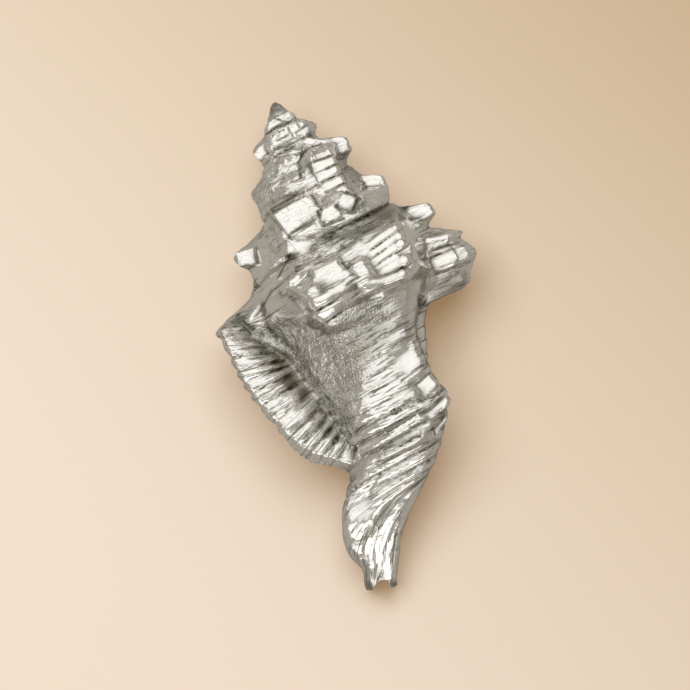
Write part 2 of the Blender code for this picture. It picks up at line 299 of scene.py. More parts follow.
    def radius(self, angle: Grid, down: Grid) -> Grid:
        """Radius with the whorls swelling out between their seams.

        Args:
            angle: angle round the axis, 0 to 360.
            down: depth along the axis.

        Returns:
            The radius in millimetres.
        """
        turn = self.seam_turn(down) - (angle - 180.0) / 360.0
        last_start = np.where(angle < 180.0, 0.0, -1.0)
        in_last = turn >= last_start
        place = np.where(in_last, turn - last_start, turn - np.floor(turn))
        early = self.whorl.at(np.minimum(place, 1.0))
        shoulder = self.whorl.at(np.minimum(place, self.shoulder)) * (1.0 - fade_in(*self.last_fade, place))
        plain = self.plain_radius(angle, down)
        to_seam = np.minimum(place, np.where(in_last, 1.0, 1.0 - place))
        crease = self.seam_crease * bell(to_seam / self.seam_width) * fade_in(*self.seam_fade, plain)
        swell = np.where(in_last, shoulder, early) * fade_in(*self.smooth_tip, down)
        nose = np.sqrt(np.clip((down + self.nose_length) / (2.0 * self.nose_length), 0.01, 1.0))
        return nose * plain * (1.0 + swell) - crease

    def place(self, radius: Grid, angle: Grid, down: Grid) -> tuple[Grid, Grid]:
        """Places points round the bent centre line.

        Args:
            radius: distance from the centre line.
            angle: angle round the axis.
            down: depth along the axis.

        Returns:
            Across and up of the points.
        """
        across = self.centre_across.at(down) + radius * np.cos(np.radians(angle))
        up = self.centre_up.at(down) + radius * np.sin(np.radians(angle))
        return across, up


@dataclass(frozen=True)
class Cords:
    """The spiral cords that run round the shell, and the finer lines between them."""
    starts: int = 4
    pitch: Curve = Curve((
        (0, 0.18), (2, 0.37), (10, 1.3), (20, 2.3), (35, 3.6), (51, 4.2), (90, 4.2), (108, 4.0), (114, 3.8),
        (119, 4.4), (122, 5.8), (127, 15.0), (131, 36.0), (138, 62.0), (151, 80.0)))
    # How deep the grooves between cords are at each depth
    groove: Curve = Curve((
        (0, 0.02), (6, 0.10), (12, 0.15), (30, 0.18), (44, 0.18), (56, 0.12), (66, 0.12), (76, 0.20),
        (86, 0.50), (96, 0.8), (103, 1.2), (110, 1.2), (118, 0.9), (126, 0.7), (151, 0.5)))
    groove_width: float = 0.5
    line_share: float = 0.42
    striae_depth: float = 0.18
    # Size of the fine lines' pattern round one cord, so that the lines stay alike where the cords widen
    spread: Curve = Curve((
        (0, 0.12), (20, 0.34), (51, 0.46), (80, 0.42), (108, 0.42), (118, 0.8), (128, 1.2), (151, 1.3)))
    # Where the cords stand boldest on the base: middle and half length
    bold_at: float = 106.0
    bold_run: float = 9.0
    # Where the cords turn down the canal, and the depth from which they are measured there
    turning: tuple[float, float] = (108.0, 124.0)
    turned_at: float = 116.0
    # Millimetres between the places at which the pitch is added up
    step: float = 0.05

    def phase(self, angle: Grid, down: Grid) -> Grid:
        """Where a point lies between cords, in radians; a groove lies at each whole turn.

        Args:
            angle: angle round the axis.
            down: depth along the axis.

        Returns:
            The phase.
        """
        steps = np.linspace(0.0, Coil.length, round(Coil.length / self.step) + 1)
        pitch = self.pitch.at(steps)
        rise = 2.0 * math.pi / (0.5 * (pitch[1:] + pitch[:-1])) * np.diff(steps)
        turns = np.concatenate([[0.0], np.cumsum(rise)])
        return np.interp(down, steps, turns) - self.starts * np.radians(angle)

    def round_cord(self, phase: Grid, down: Grid) -> tuple[Grid, Grid]:
        """Two coordinates round one cord, for the fine lines' pattern."""
        size = self.spread.at(down)
        return size * np.cos(phase), size * np.sin(phase)

    def run(self, across: Grid, down: Grid) -> Grid:
        """Millimetres along the cords, which cross the back and turn down the canal."""
        turned = fade_in(*self.turning, down)
        return across * (1.0 - turned) + (down - self.turned_at) * turned

    def relief(self, phase: Grid, across: Grid, down: Grid, grain: Grain) -> Grid:
        """Height of the cords over the plain skin, always below it in the grooves.

        Args:
            phase: place between cords.
            across: places across.
            down: depth along the axis.
            grain: unevenness for the fine lines.

        Returns:
            The height in millimetres, 0 on a cord's crest.
        """
        wander = grain.at(np.cos(phase) * 0.6 + 7.0, np.sin(phase) * 0.6 + 7.0, down * 0.22)
        bold = bell((down - self.bold_at) / self.bold_run, 3.0)
        main = bell(np.sin(phase / 2.0) / (self.groove_width + 0.2 * bold))
        third = bell(np.sin(1.5 * phase + 1.1 * wander) / 0.5) * fade_in(-0.35, 0.35, wander)
        third = third * (1.0 - 0.8 * bold)
        cord_x, cord_y = self.round_cord(phase, down)
        lines = grain.at(cord_x + 3.0, cord_y + 3.0, self.run(across, down) * 0.11)
        depth = self.groove.at(down)
        striae = self.striae_depth * fade_in(0.1, 0.35, lines) * fade_in(20.0, 50.0, down)
        return -depth * (main * (0.85 + 0.3 * wander) + self.line_share * third) - striae


@dataclass(frozen=True)
class Knob:
    """A knob on a shoulder: where it is, how far its tip reaches and how wide it is."""
    angle: float
    down: float
    reach: float
    half_angle: float
    half_down: float
    bluntness: float

    def raise_to(self, radius: Grid, angle: Grid, down: Grid) -> tuple[Grid, Grid]:
        """Raises this knob.

        Args:
            radius: radius without the knob.
            angle: angle round the axis.
            down: depth along the axis.

        Returns:
            The new radius, and how much of the knob each point has.
        """
        round_axis = angle_from(self.angle, angle) / self.half_angle
        share = bell(np.hypot(round_axis, (down - self.down) / self.half_down), self.bluntness)
        return radius + np.maximum(self.reach - radius, 0.0) * share, share


@dataclass(frozen=True)
class Stroke:
    """A straight mark on the back: across and down of its two ends."""
    across0: float
    down0: float
    across1: float
    down1: float

    def measure(self, across: Grid, down: Grid) -> tuple[float, Grid, Grid]:
        """Measures places against the mark.

        Args:
            across: places across.
            down: places down.

        Returns:
            The mark's length, the distance of each place along it, and the distance beside it.
        """
        run = (self.across1 - self.across0, self.down1 - self.down0)
        length = math.hypot(*run)
        along = ((across - self.across0) * run[0] + (down - self.down0) * run[1]) / length
        aside = ((down - self.down0) * run[0] - (across - self.across0) * run[1]) / length
        return length, along, aside


@dataclass(frozen=True)
class Swelling(Stroke):
    """A long swelling on the back: its half width, height, and how hard its sides and ends are."""
    half_width: float
    height: float
    left: float
    right: float
    end: float

    def lift(self, across: Grid, down: Grid) -> Grid:
        """Works out the swelling.

        Args:
            across: places across.
            down: places down.

        Returns:
            Height over the back.
        """
        length, along, aside = self.measure(across, down)
        past_end = np.maximum(np.maximum(-along, along - length), 0.0) / self.end
        hardness = np.where(aside > 0, self.right, self.left)
        return self.height * bell(np.hypot(aside, past_end) / self.half_width, hardness)


@dataclass(frozen=True)
class Finger(Stroke):
    """A rounded rib on a knob that grows taller towards its far end, where it may carry a bead."""
    half_width: float
    height: float
    bead: float = 0.0

    def lift(self, across: Grid, down: Grid) -> Grid:
        """Works out the rib and its bead.

        Args:
            across: places across.
            down: places down.

        Returns:
            Height over the back.
        """
        length, along, aside = self.measure(across, down)
        beyond = np.maximum(along - length, 0.0)
        share = np.clip(along / length, 0.0, 1.0)
        width = self.half_width * (0.65 + 0.35 * share)
        round_off = np.clip(1.0 - ((aside ** 2 + beyond ** 2) / width ** 2) ** 2, 0.0, 1.0) ** 0.5
        start = fade_in(-0.5 * self.half_width, 2.0 * self.half_width, along)
        rib = self.height * (0.55 + 0.45 * share) * round_off * start
        if self.bead == 0.0:
            return rib
        to_bead = np.hypot(aside, along - length + 0.6 * self.half_width)
        bead_size = self.half_width * self.bead
        ball = np.clip(1.0 - (to_bead / bead_size) ** 4, 0.0, 1.0) ** 0.5
        return np.maximum(rib, (self.height + 0.35 * bead_size) * ball)


@dataclass(frozen=True)
class Groove(Stroke):
    """A short dark line cut into the back."""
    half_width: float = 0.45
    depth: float = 0.5

    def share_at(self, across: Grid, down: Grid) -> Grid:
        """Works out where the line is.

        Args:
            across: places across.
            down: places down.

        Returns:
            How much of the line each place has, from 0 to 1.
        """
        length, along, aside = self.measure(across, down)
        past_end = along - np.clip(along, 0.0, length)
        return bell(np.hypot(aside, past_end) / self.half_width, 3.0)


@dataclass(frozen=True)
class Ledge:
    """A rise on the back that climbs slowly to an edge and drops steeply beyond it, like an old lip."""
    edge: Points
    facing: float
    run: float
    height: float
    drop: float
    fade: float = 2.5
    roundness: float = 0.75

    def lift(self, across: Grid, down: Grid) -> Grid:
        """Works out the rise.

        Args:
            across: places across.
            down: places down.

        Returns:
            Height over the back.
        """
        inside = self.facing * (Curve(self.edge).at(down) - across)
        climb = np.clip(1.0 - inside / self.run, 0.0, 1.0) ** self.roundness
        past = fade_in(-self.drop, 0.25 * self.drop, inside)
        first, last = self.edge[0][0], self.edge[-1][0]
        ends = fade_in(first, first + self.fade, down) * (1.0 - fade_in(last - self.fade, last, down))
        return self.height * climb * past * ends


@dataclass(frozen=True)
class Facet:
    """A flat face on the back, laid as a plane: its middle, half sizes, turn, slopes and rise."""
    across: float
    down: float
    half_across: float
    half_down: float
    turn: float = 0.0
    slope_across: float = -0.03
    slope_down: float = 0.09
    rise: float = 0.3
    hardness: float = 5.0
    share: float = 1.0
    polish: float = 0.9
    to_edge: bool = False

    def share_at(self, across: Grid, down: Grid) -> Grid:
        """Works out where the flat face is.

        Args:
            across: places across.
            down: places down.

        Returns:
            How much of the flat face each place has, from 0 to 1.
        """
        turned = math.radians(self.turn)
        u = (across - self.across) * math.cos(turned) + (down - self.down) * math.sin(turned)
        v = (down - self.down) * math.cos(turned) - (across - self.across) * math.sin(turned)
        return bell(np.maximum(np.abs(u) / self.half_across, np.abs(v) / self.half_down), self.hardness)

    def lay(self, across: Grid, down: Grid, up: Grid, upward: Grid) -> Grid:
        """Lays the flat face into the back.

        Args:
            across: places across.
            down: places down.
            up: height of the skin there.
            upward: sine of the angle round the axis, 1 at the top of the back.

        Returns:
            The new heights.
        """
        mask = self.share_at(across, down) * (upward > (EDGE_ON if self.to_edge else ON_BACK))
        level = np.sum(mask * up) / max(np.sum(mask), 1e-9) + self.rise
        plane = level + self.slope_across * (across - self.across) + self.slope_down * (down - self.down)
        return up + self.share * mask * (plane - up)


@dataclass(frozen=True)
class BigSpine:
    """The big spine at the right and the old lip that runs on below it."""
    reach: Curve = Curve((
        (50, 28), (52, 32.0), (53.8, 36.0), (55.8, 40.2), (58.2, 39.8), (60.3, 41.4), (62.4, 42.8),
        (67.0, 41.0), (68.9, 39.0), (72.2, 37.4), (73.0, 35.0), (73.8, 27), (75, 20)))
    angle: float = -4.0
    half_angle: float = 17.0
    old_lip_angle: Curve = Curve(((44, -10), (60, -8), (72, -24), (84, -34), (100, -52)))
    old_lip_half_angle: float = 9.0
    old_lip_height: float = 5.0
    # Depths over which the spine and the old lip rise and end, and how hard their sides are
    spine_span: Span = (50.5, 53.5, 72.6, 74.6)
    old_lip_span: Span = (68.0, 73.0, 84.0, 104.0)
    spine_sides: float = 3.2
    old_lip_sides: float = 2.5

    def raise_to(self, radius: Grid, angle: Grid, down: Grid) -> tuple[Grid, Grid]:
        """Raises the spine and the old lip.

        Args:
            radius: radius without them.
            angle: angle round the axis.
            down: depth along the axis.

        Returns:
            The new radius, and how much of the spine each point has.
        """
        share = bell(angle_from(self.angle, angle) / self.half_angle, self.spine_sides)
        share = share * between(self.spine_span, down)
        radius = radius + np.maximum(self.reach.at(down) - radius, 0.0) * share
        aside = angle_from(self.old_lip_angle.at(down), angle) / self.old_lip_half_angle
        ridge = bell(aside, self.old_lip_sides)
        return radius + self.old_lip_height * between(self.old_lip_span, down) * ridge, share


@dataclass(frozen=True)
class OuterLip:
    """The flared outer lip: its edge, the rim it lies on, its ribs, pits, and the trough behind it."""
    edge: Curve = Curve((
        (50, 26.5), (51.5, 27.0), (53.2, 28.0), (55.7, 33.4), (57.8, 38.6), (59.4, 40.9), (62, 40.9),
        (64.6, 40.0), (67.5, 39.4), (75.7, 38.0), (82.7, 36.4), (89.3, 34.6), (95.3, 32.8), (100.2, 31.9),
        (104.3, 29.9), (107.3, 27.0), (110, 21.0), (112.5, 17.0), (116, 14.6), (119, 14.6)))
    rim: Curve = Curve((
        (50, 26), (56, 32), (62, 37.6), (75, 37.9), (90, 37.7), (97, 35.5), (103, 30), (108, 23), (112, 17),
        (119, 14.6)))
    start_angle: Curve = Curve((
        (50, 172), (60, 170), (66, 164), (73, 158), (80, 156), (95, 150), (104, 142), (112, 150)))
    bank: Curve = Curve((
        (52, -24), (56, -20), (62, -14), (71, -3), (83, 1.0), (93, -5.0), (100, -8.4), (108, -11),
        (114, -17), (120, -24)))
    # Where the flange's inner and outer edges face each other: down and across inside, then outside
    fan: tuple[tuple[float, float, float, float], ...] = (
        (54.0, -34.5, 55.0, -39.5), (60.0, -32.6, 58.5, -41.0), (66.5, -29.7, 63.5, -40.6),
        (72.8, -25.4, 70.5, -39.4), (76.7, -23.6, 77.0, -37.9), (82.0, -22.2, 84.4, -36.2),
        (86.8, -20.4, 91.5, -34.0), (92.5, -18.8, 98.8, -31.8), (98.7, -17.0, 105.4, -28.0),
        (103.5, -15.2, 109.2, -22.6), (107.6, -13.8, 112.0, -17.6), (110.5, -13.2, 113.4, -15.4))
    # Height of the flange's crest at each depth
    crest: Curve = Curve((
        (54, 15.0), (60, 14.5), (68, 13.6), (76, 13.0), (84, 12.4), (92, 11.6), (100, 10.0), (106, 8.0),
        (113, 5.0)))
    crest_share: float = 0.66
    inner_fall: float = 5.2
    outer_fall: float = 1.2
    rim_fall: float = 3.0
    rim_start: Curve = Curve(((60, 0.86), (86, 0.84), (96, 0.74), (106, 0.60), (113, 0.55)))
    trough_depth: float = 4.6
    rib_spacing: float = 4.6
    rib_height: float = 1.1
    line_height: float = 0.28
    lines_per_rib: int = 4
    pit_depth: float = 1.0
    scallop: float = 0.5
    # How unevenly the ribs are spaced, in ribs
    unevenness: float = 0.3
    # Width of the slope down into the trough at each depth, and how the fine lines lie on the flange
    bank_width: Curve = Curve(((60, 6.0), (72, 13.0), (84, 12.0), (96, 6.5), (104, 5.5)))
    line_spread: float = 3.4
    line_run: float = 12.0
    # Number of fine fan lines, the lines over which the flange fades, and the part of the back it lies in
    fan_count: int = 221
    fan_span: Span = (4.0, 22.0, 205.0, 219.0)
    near_down: tuple[float, float] = (50.0, 116.0)
    near_across: tuple[float, float] = (-46.0, 2.0)
    # Depths over which the flare sets in and ends, and angles over which it ends and goes under
    flare_span: Span = (50.0, 53.0, 112.0, 117.0)
    flare_lead: float = 12.0
    flare_full: float = 182.0
    flare_end: tuple[float, float] = (232.0, 250.0)
    goes_under: tuple[float, float] = (184.0, 226.0)
    # Angles and depths over which the edge is scalloped
    scalloped: Span = (172.0, 180.0, 215.0, 232.0)
    scallop_start: tuple[float, float] = (56.0, 60.0)
    # Depths over which the trough sets in and ends, and where its foot meets the flange
    trough_span: Span = (60.0, 66.0, 104.0, 112.0)
    foot: tuple[float, float] = (-0.42, -0.08)

    def fan_lines(self) -> tuple[Grid, Grid, Grid, Grid, Grid]:
        """Draws many fine lines across the flange.

        Returns:
            Down and across of the lines' inner ends, then of their outer ends, and the rib phase of each.
        """
        table = np.array(self.fan)
        index = np.arange(len(table), dtype=float)
        fine = np.linspace(0.0, len(table) - 1.0, self.fan_count)
        columns = [Curve(tuple(zip(index, table[:, k]))).at(fine) for k in range(4)]
        middle = [0.4 * columns[0] + 0.6 * columns[2], 0.4 * columns[1] + 0.6 * columns[3]]
        walked = np.concatenate([[0.0], np.cumsum(np.hypot(np.diff(middle[0]), np.diff(middle[1])))])
        return (*columns, walked / self.rib_spacing + self.unevenness * np.sin(walked * 0.23 + 1.0))

    def on_flange(self, across: Grid, down: Grid) -> tuple[Grid, Grid, Grid]:
        """Place on the flange.

        Args:
            across: places across.
            down: places down.

        Returns:
            The rib phase in ribs, the share from the inner edge (0) to the outer (1), and
            a mask that is 1 on the flange and fades at its two ends.
        """
        down0, across0, down1, across1, ribs = self.fan_lines()
        phase, share, mask = (np.zeros(across.shape) for _ in range(3))
        near = (down > self.near_down[0]) & (down < self.near_down[1])
        near = near & (across > self.near_across[0]) & (across < self.near_across[1])
        x, d = across[near], down[near]
        run_d, run_x = down1 - down0, across1 - across0
        length = np.hypot(run_d, run_x)
        side = ((d[:, None] - down0) * run_x - (x[:, None] - across0) * run_d) / length
        flips = (side[:, :-1] <= 0) & (side[:, 1:] > 0) | (side[:, :-1] >= 0) & (side[:, 1:] < 0)
        hit = flips.any(axis=1)
        first = np.argmax(flips, axis=1)
        rows = np.arange(len(x))
        s0, s1 = side[rows, first], side[rows, first + 1]
        u = np.where(hit, s0 / np.where(np.abs(s0 - s1) < 1e-9, 1.0, s0 - s1), 0.0)
        start_d, start_x, way_d, way_x = (
            column[first] * (1 - u) + column[first + 1] * u for column in (down0, across0, run_d, run_x))
        found = ((d - start_d) * way_d + (x - start_x) * way_x) / (way_d ** 2 + way_x ** 2)
        phase[near] = ribs[first] * (1 - u) + ribs[first + 1] * u
        share[near] = np.where(hit, found, OFF_FLANGE)
        mask[near] = np.where(hit, between(self.fan_span, first + u), 0.0)
        share[~near] = OFF_FLANGE
        return phase, share, mask

    def edge_phase(self, down: Grid) -> Grid:
        """Rib phase along the outer edge at each depth."""
        _, _, down1, _, ribs = self.fan_lines()
        return np.interp(down, down1, ribs)

    def flare(self, radius: Grid, angle: Grid, down: Grid) -> Grid:
        """Flares the skin out to the lip's edge and down to the rim it lies on.

        Args:
            radius: radius without the lip.
            angle: angle round the axis.
            down: depth along the axis.

        Returns:
            The new radius.
        """
        share = fade_in(self.start_angle.at(down) - self.flare_lead, self.flare_full, angle) ** 0.8
        share = share * (1.0 - fade_in(*self.flare_end, angle))
        share = share * between(self.flare_span, down)
        under = fade_in(*self.goes_under, angle)
        reach = self.edge.at(down) * (1.0 - under) + self.rim.at(down) * under
        ribs = np.abs(np.sin(math.pi * self.edge_phase(down))) ** 0.7 - 1.0
        wall = between(self.scalloped, angle) * fade_in(*self.scallop_start, down)
        reach = reach + 2.0 * self.scallop * ribs * wall
        return radius + np.maximum(reach - radius, 0.0) * share

    def trough(self, across: Grid, down: Grid, share: Grid) -> Grid:
        """Works out the trough behind the lip.

        Args:
            across: places across.
            down: places down.
            share: place on the flange, from its inner edge to the outer.

        Returns:
            How much of the trough each place has, from 0 to 1.
        """
        below_bank = fade_in(0.0, self.bank_width.at(down), self.bank.at(down) - across)
        before_foot = 1.0 - fade_in(*self.foot, share)
        return between(self.trough_span, down) * below_bank * before_foot

    def lay(self, up: Grid, down: Grid, angle: Grid, place: tuple[Grid, Grid, Grid], wander: Grid) -> Grid:
        """Lays the ribbed flange over the skin.

        Args:
            up: height of the skin.
            down: depth along the axis.
            angle: angle round the axis.
            place: rib phase, share from the inner edge to the outer, and the flange's mask.
            wander: unevenness of the fine lines, between -1 and 1.

        Returns:
            The new heights.
        """
        phase, share, mask = place
        inside = np.clip((self.crest_share - share) / self.crest_share, 0.0, 1.5)
        outside = np.clip((share - self.crest_share) / (1.0 - self.crest_share), 0.0, 1.3)
        falls = self.inner_fall * (1.0 - 0.75 * fade_in(96.0, 107.0, down))
        target = self.crest.at(down) - falls * inside ** 1.6 - self.outer_fall * outside ** 2
        rim_start = self.rim_start.at(down)
        target = target - self.rim_fall * fade_in(rim_start, 1.03, share)
        rib = np.abs(np.sin(math.pi * phase)) ** 0.55
        line = np.abs(np.sin(self.lines_per_rib * math.pi * phase + 1.6 * wander)) ** 0.7
        on_rim = fade_in(rim_start - 0.04, rim_start + 0.11, share)
        ribbed = fade_in(-0.25, 0.15, share) * (1.0 - 0.4 * on_rim)
        target = target + ribbed * (self.rib_height * (rib - 1.0) + self.line_height * (line - 1.0))
        pit = bell(np.sin(math.pi * phase) / 0.62) * bell((share - 0.10) / 0.20)
        pit = pit * (1.0 - fade_in(101.0, 107.0, down))
        above = fade_in(-0.03, 0.10, sine(angle))
        weight = mask * above * fade_in(*self.foot, share) * (1.0 - fade_in(1.3, 1.6, share))
        return up + weight * (target - up) - self.pit_depth * pit * mask * above


@dataclass(frozen=True)
class ChamberRing:
    """One oval section of the hollow: angle, middle and half sizes."""
    angle: float
    reach: float
    down: float
    half_reach: float
    half_down: float


@dataclass(frozen=True)
class Mouth:
    """The open mouth with the living chamber behind it, and the canal's groove."""
    rings: tuple[ChamberRing, ...] = (
        ChamberRing(284, 32.0, 94, 8.0, 9.0), ChamberRing(276, 29.0, 92, 11.0, 13.5),
        ChamberRing(262, 27.0, 87, 14.0, 19.5), ChamberRing(243, 26.0, 83.5, 15.0, 21.5),
        ChamberRing(226, 21.0, 82, 10.0, 20.0), ChamberRing(205, 17.5, 81, 7.5, 18.0),
        ChamberRing(180, 14.0, 79, 4.6, 15.5), ChamberRing(150, 12.2, 77, 4.0, 14.0),
        ChamberRing(120, 12.2, 74, 4.4, 13.0), ChamberRing(90, 13.0, 72, 5.0, 12.5),
        ChamberRing(60, 13.0, 70, 5.0, 12.0), ChamberRing(30, 12.0, 68, 4.5, 11.0),
        ChamberRing(0, 11.0, 66, 4.0, 9.0), ChamberRing(-30, 10.0, 64, 3.0, 6.5),
        ChamberRing(-50, 9.0, 63, 1.4, 3.0))
    ring_points: int = 56
    ring_step: float = 2.5
    tooth_spacing: float = 3.4
    tooth_height: float = 0.5
    teeth_until: tuple[float, float] = (225.0, 262.0)
    canal_start: float = 97.0
    canal_straight: float = 116.0
    canal_aside: float = 6.0
    canal_half_width: float = 1.7
    canal_floor: float = 2.6
    canal_beyond: float = 6.0
    canal_rings: int = 60
    canal_points: int = 20
    notch_start: float = 146.2
    notch_rise: float = 4.6
    notch_widening: float = 1.7
    notch_height: float = 4.5

    def chamber(self, coil: Coil) -> tuple[Grid, Grid, Grid]:
        """Lays out the hollow, from outside the mouth back round the axis.

        Args:
            coil: the coil that the hollow follows.

        Returns:
            Across, down and up of the rings.
        """
        table = np.array([(r.angle, r.reach, r.down, r.half_reach, r.half_down) for r in self.rings])
        angles = np.arange(table[0, 0], table[-1, 0] - 0.1, -self.ring_step)
        reach, down, half_reach, half_down = (
            Curve(tuple(zip(-table[:, 0], table[:, column]))).at(-angles)[:, None] for column in range(1, 5))
        turn = np.arange(self.ring_points) * 2.0 * math.pi / self.ring_points
        depth = down + half_down * np.sin(turn)
        inside = (1.0 - fade_in(*self.teeth_until, angles))[:, None] * fade_in(1.0, 4.0, half_reach)
        teeth = self.tooth_height * inside * np.sin(2.0 * math.pi * depth / self.tooth_spacing)
        radius = reach + (half_reach + teeth) * np.cos(turn)
        across, up = coil.place(radius, angles[:, None], depth)
        return across, depth, up

    def canal(self, coil: Coil) -> tuple[Grid, Grid, Grid]:
        """Lays out the open groove along the canal, with the notch at its end.

        Args:
            coil: the coil that the groove follows.

        Returns:
            Across, down and up of the rings.
        """
        down = np.linspace(self.canal_start, coil.length + self.canal_beyond, self.canal_rings)[:, None]
        skin = coil.mouth_side.at(down)
        at_end = fade_in(self.notch_start, self.notch_start + self.notch_rise, down)
        half_height = skin - self.canal_floor + self.notch_height * skin * at_end
        turn = np.arange(self.canal_points) * 2.0 * math.pi / self.canal_points
        aside = self.canal_aside * (1.0 - fade_in(self.canal_start, self.canal_straight, down))
        half_width = self.canal_half_width + self.notch_widening * at_end
        across = coil.centre_across.at(down) - aside + half_width * np.cos(turn)
        up = coil.centre_up.at(down) - skin + half_height * np.sin(turn)
        return across, np.broadcast_to(down, across.shape), up


@dataclass(frozen=True)
class SilverPlating:
    """Bright silver plating with darker silver in its lines and hollows, where tarnish and painted shade are
    laid in.
    """
    name: str = "silver_plating"
    bright: Colour = (0.90, 0.885, 0.855)
    # Darker silver for lines, cracks and hollows, and for painted shade laid in with the tarnish
    dull: Colour = (0.25, 0.24, 0.20)
    brown: Colour = (0.24, 0.17, 0.10)
    edge: Colour = (0.92, 0.91, 0.89)
    roughness: tuple[float, float] = (0.10, 0.32)
    # Fine lines along the cords: cells per millimetre along them, where noise turns into a line,
    # the relief of the finer set beside the coarser, and their depth in millimetres
    run_cells: float = 0.075
    line_edge: tuple[float, float] = (0.36, 0.43)
    fine_line_edge: tuple[float, float] = (0.34, 0.40)
    fine_line_relief: float = 0.35
    striae_depth: float = 0.13
    # Small leaning chips between the lines, and leaning flakes on the first whorls
    chip_cells: float = 0.62
    chip_depth: float = 0.22
    flake_cells: float = 430.0
    flake_shape: tuple[float, float, float] = (0.6, 1.25, 1.0)
    flake_slope: float = 0.55
    flake_edge: tuple[float, float] = (0.28, 0.6)
    # Crackle in the dull skin of the trough
    crackle_cells: float = 800.0
    crackle_edge: tuple[float, float] = (0.0, 0.22)
    crackle_depth: float = 0.11
    dent_share: float = 1.6
    # The metal's own grain
    grain_cells: float = 2600.0
    grain_depth: float = 0.012
    grain_roughness: float = 0.12
    # Where lines, cracks and clouds turn dark, and how dark they get
    crack_width: tuple[float, float] = (0.075, 0.025)
    dark_line: tuple[float, float] = (0.41, 0.385)
    dark_fine_line: tuple[float, float] = (0.355, 0.335)
    fine_line_darkness: float = 0.7
    line_darkness: float = 0.7
    open_crack: tuple[float, float] = (0.50, 0.56)
    crack_darkness: float = 0.5
    cloud_edge: tuple[float, float] = (0.5, 0.75)
    cloud_darkness: float = 0.18

    def make(self) -> bpy.types.Material:
        """Builds the material.

        Returns:
            The finished material.
        """
        material = bpy.data.materials.new(self.name)
        material.use_nodes = True
        return _SilverNodes(material, self).build()


def mix_colours(tree: bpy.types.NodeTree, share: Socket, first: object, second: object) -> Socket:
    """Mixes two colours.

    Args:
        tree: the nodes to add to.
        share: how much of the second colour.
        first: a socket or a colour.
        second: a socket or a colour.

    Returns:
        The socket with the mixed colour.
    """
    made = tree.nodes.new("ShaderNodeMix")
    made.data_type = "RGBA"
    tree.links.new(share, made.inputs["Factor"])
    for socket, given in zip((s for s in made.inputs if s.type == "RGBA"), (first, second)):
        if isinstance(given, Socket):
            tree.links.new(given, socket)
        else:
            socket.default_value = (*given, 1.0)
    return next(s for s in made.outputs if s.type == "RGBA")


